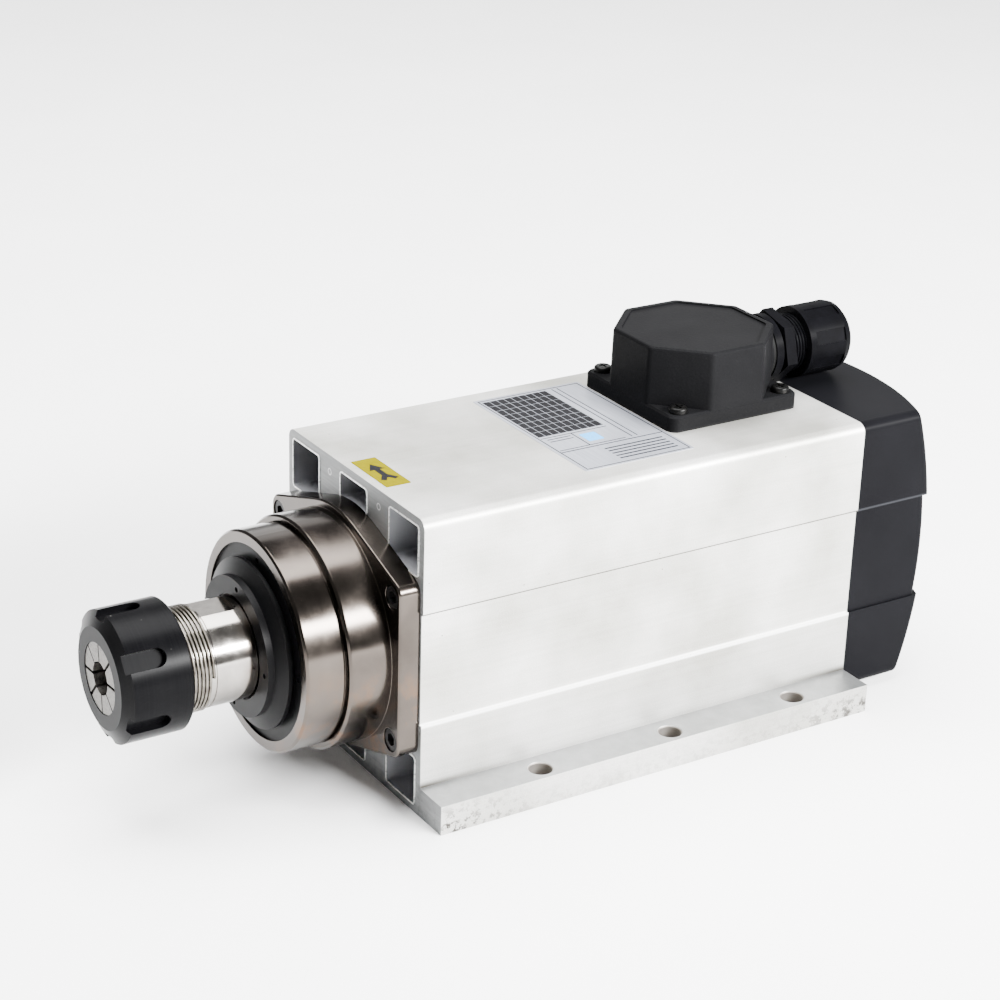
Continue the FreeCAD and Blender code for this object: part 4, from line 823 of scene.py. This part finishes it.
# The underside grows a shank, and the rim of the top is rounded to a pan.
pick_faces(screw, lambda face: face.normal.z < -0.9)
bpy.ops.mesh.inset(thickness=pan_radius - shank_radius, depth=0.0)
bpy.ops.mesh.extrude_region_move(TRANSFORM_OT_translate={"value": (0, 0, screws_low[2] - head_base)})
pick_faces(screw, lambda face: face.normal.z > 0.9)
bpy.ops.mesh.region_to_loop()
bpy.ops.mesh.bevel(offset=pan_crown, segments=5)
bpy.ops.object.mode_set(mode="OBJECT")
top_middle = Vector((head_middle.x, head_middle.y, screws_high[2]))
for blade_x, blade_y in ((cross_length, cross_width), (cross_width, cross_length)):
    reach = Vector((blade_x / 2, blade_y / 2, cross_depth))
    blade = slab("blade", top_middle - reach, top_middle + reach, cross_width / 4, 2)
    cut = screw.modifiers.new("recess", "BOOLEAN")
    cut.operation = "DIFFERENCE"
    cut.object = blade
    bpy.ops.object.select_all(action="DESELECT")
    bpy.context.view_layer.objects.active = screw
    bpy.ops.object.modifier_apply(modifier="recess")
    bpy.data.objects.remove(blade)
screw.select_set(True)
bpy.ops.object.shade_smooth_by_angle(angle=smooth_below)
box_screws = [screw]
step_x = screws_high[0] - screws_low[0] - 2 * pan_radius
step_y = screws_high[1] - screws_low[1] - 2 * pan_radius
for move_x, move_y in ((1, 0), (0, 1), (1, 1)):
    bpy.ops.object.select_all(action="DESELECT")
    screw.select_set(True)
    bpy.context.view_layer.objects.active = screw
    bpy.ops.object.duplicate()
    copied = bpy.context.object
    copied.location = (move_x * step_x, move_y * step_y, 0)
    settle()
    box_screws.append(copied)
pan_screws = joined("pan_head_screws", box_screws)
pan_screws.data.materials.append(zinc_black)
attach(pan_screws, "housing")
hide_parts("terminal_box_screws")

# Terminal studs: turned brass, slightly tarnished, moulded into the terminal block.
# There is one for each phase of the motor.
stud_brass, tree, shader, place = finish("tarnished_brass", 1.0, 0.3)
mottled(tree, shader, place, per_metre=500.0, stops=[(0.3, "#A8853E"), (0.7, "#C9A656")])
dress("terminal_studs", stud_brass)

# Paper under the spindle: smooth and uncoated, so it takes only a soft shadow.
# It is far larger than the view.
paper_size = 14.0
paper, tree, shader, place = finish("uncoated_paper", 0.0, 0.9)
mottled(tree, shader, place, per_metre=9.0, stops=[(0.3, "#F6F6F6"), (0.7, "#FAFAFA")], detail=4.0)
bpy.ops.object.select_all(action="DESELECT")
bpy.ops.mesh.primitive_plane_add(size=paper_size, location=(0, 0, 0))
floor = bpy.context.object
floor.name = "floor"
floor.data.materials.append(paper)

# Studio: soft boxes above and behind to the right, and a wide dim one behind to the left.
# The one behind to the right draws the long bright bands on the turned nose.
world_strength = 0.3
world = bpy.data.worlds.new("studio")
world.use_nodes = True
background = world.node_tree.nodes["Background"]
background.inputs["Color"].default_value = linear("#FFFFFF")
background.inputs["Strength"].default_value = world_strength
bpy.context.scene.world = world


def soft_box(name, place, aim, width, height, power):
    """Rectangular studio light that faces a point."""
    light = bpy.data.lights.new(name, "AREA")
    light.shape = "RECTANGLE"
    light.size = width
    light.size_y = height
    light.energy = power
    lamp = bpy.data.objects.new(name, light)
    lamp.location = place
    lamp.rotation_euler = (Vector(aim) - Vector(place)).to_track_quat("-Z", "Y").to_euler()
    bpy.context.scene.collection.objects.link(lamp)


soft_box("light_above", (-0.25, -0.1, 1.7), (0, 0, 0.05), 1.5, 1.5, 150)
soft_box("light_behind", (1.35, 0.75, 0.85), (0, -0.05, 0.06), 1.3, 0.30, 250)
soft_box("light_left", (-2.2, 1.5, 1.2), (0, 0, 0.06), 2.4, 1.4, 20)

# Camera: a long lens from the front right, a little above the spindle.
# Its place, aim, roll and lens were fitted to the edges of the housing.
camera_place = Vector((0.7383, -0.5147, 0.4715))
camera_target = Vector((-0.0716, 0.0027, 0.0593))
camera_roll = math.radians(1.776)
camera = bpy.data.objects.new("camera", bpy.data.cameras.new("camera"))
camera.data.lens = 88.8
camera.data.sensor_width = 36.0
camera.data.clip_start = 0.01
camera.location = camera_place
look = (camera_target - camera_place).to_track_quat("-Z", "Y")
camera.rotation_euler = (look @ Quaternion((0, 0, 1), camera_roll)).to_euler()
bpy.context.scene.collection.objects.link(camera)
bpy.context.scene.camera = camera
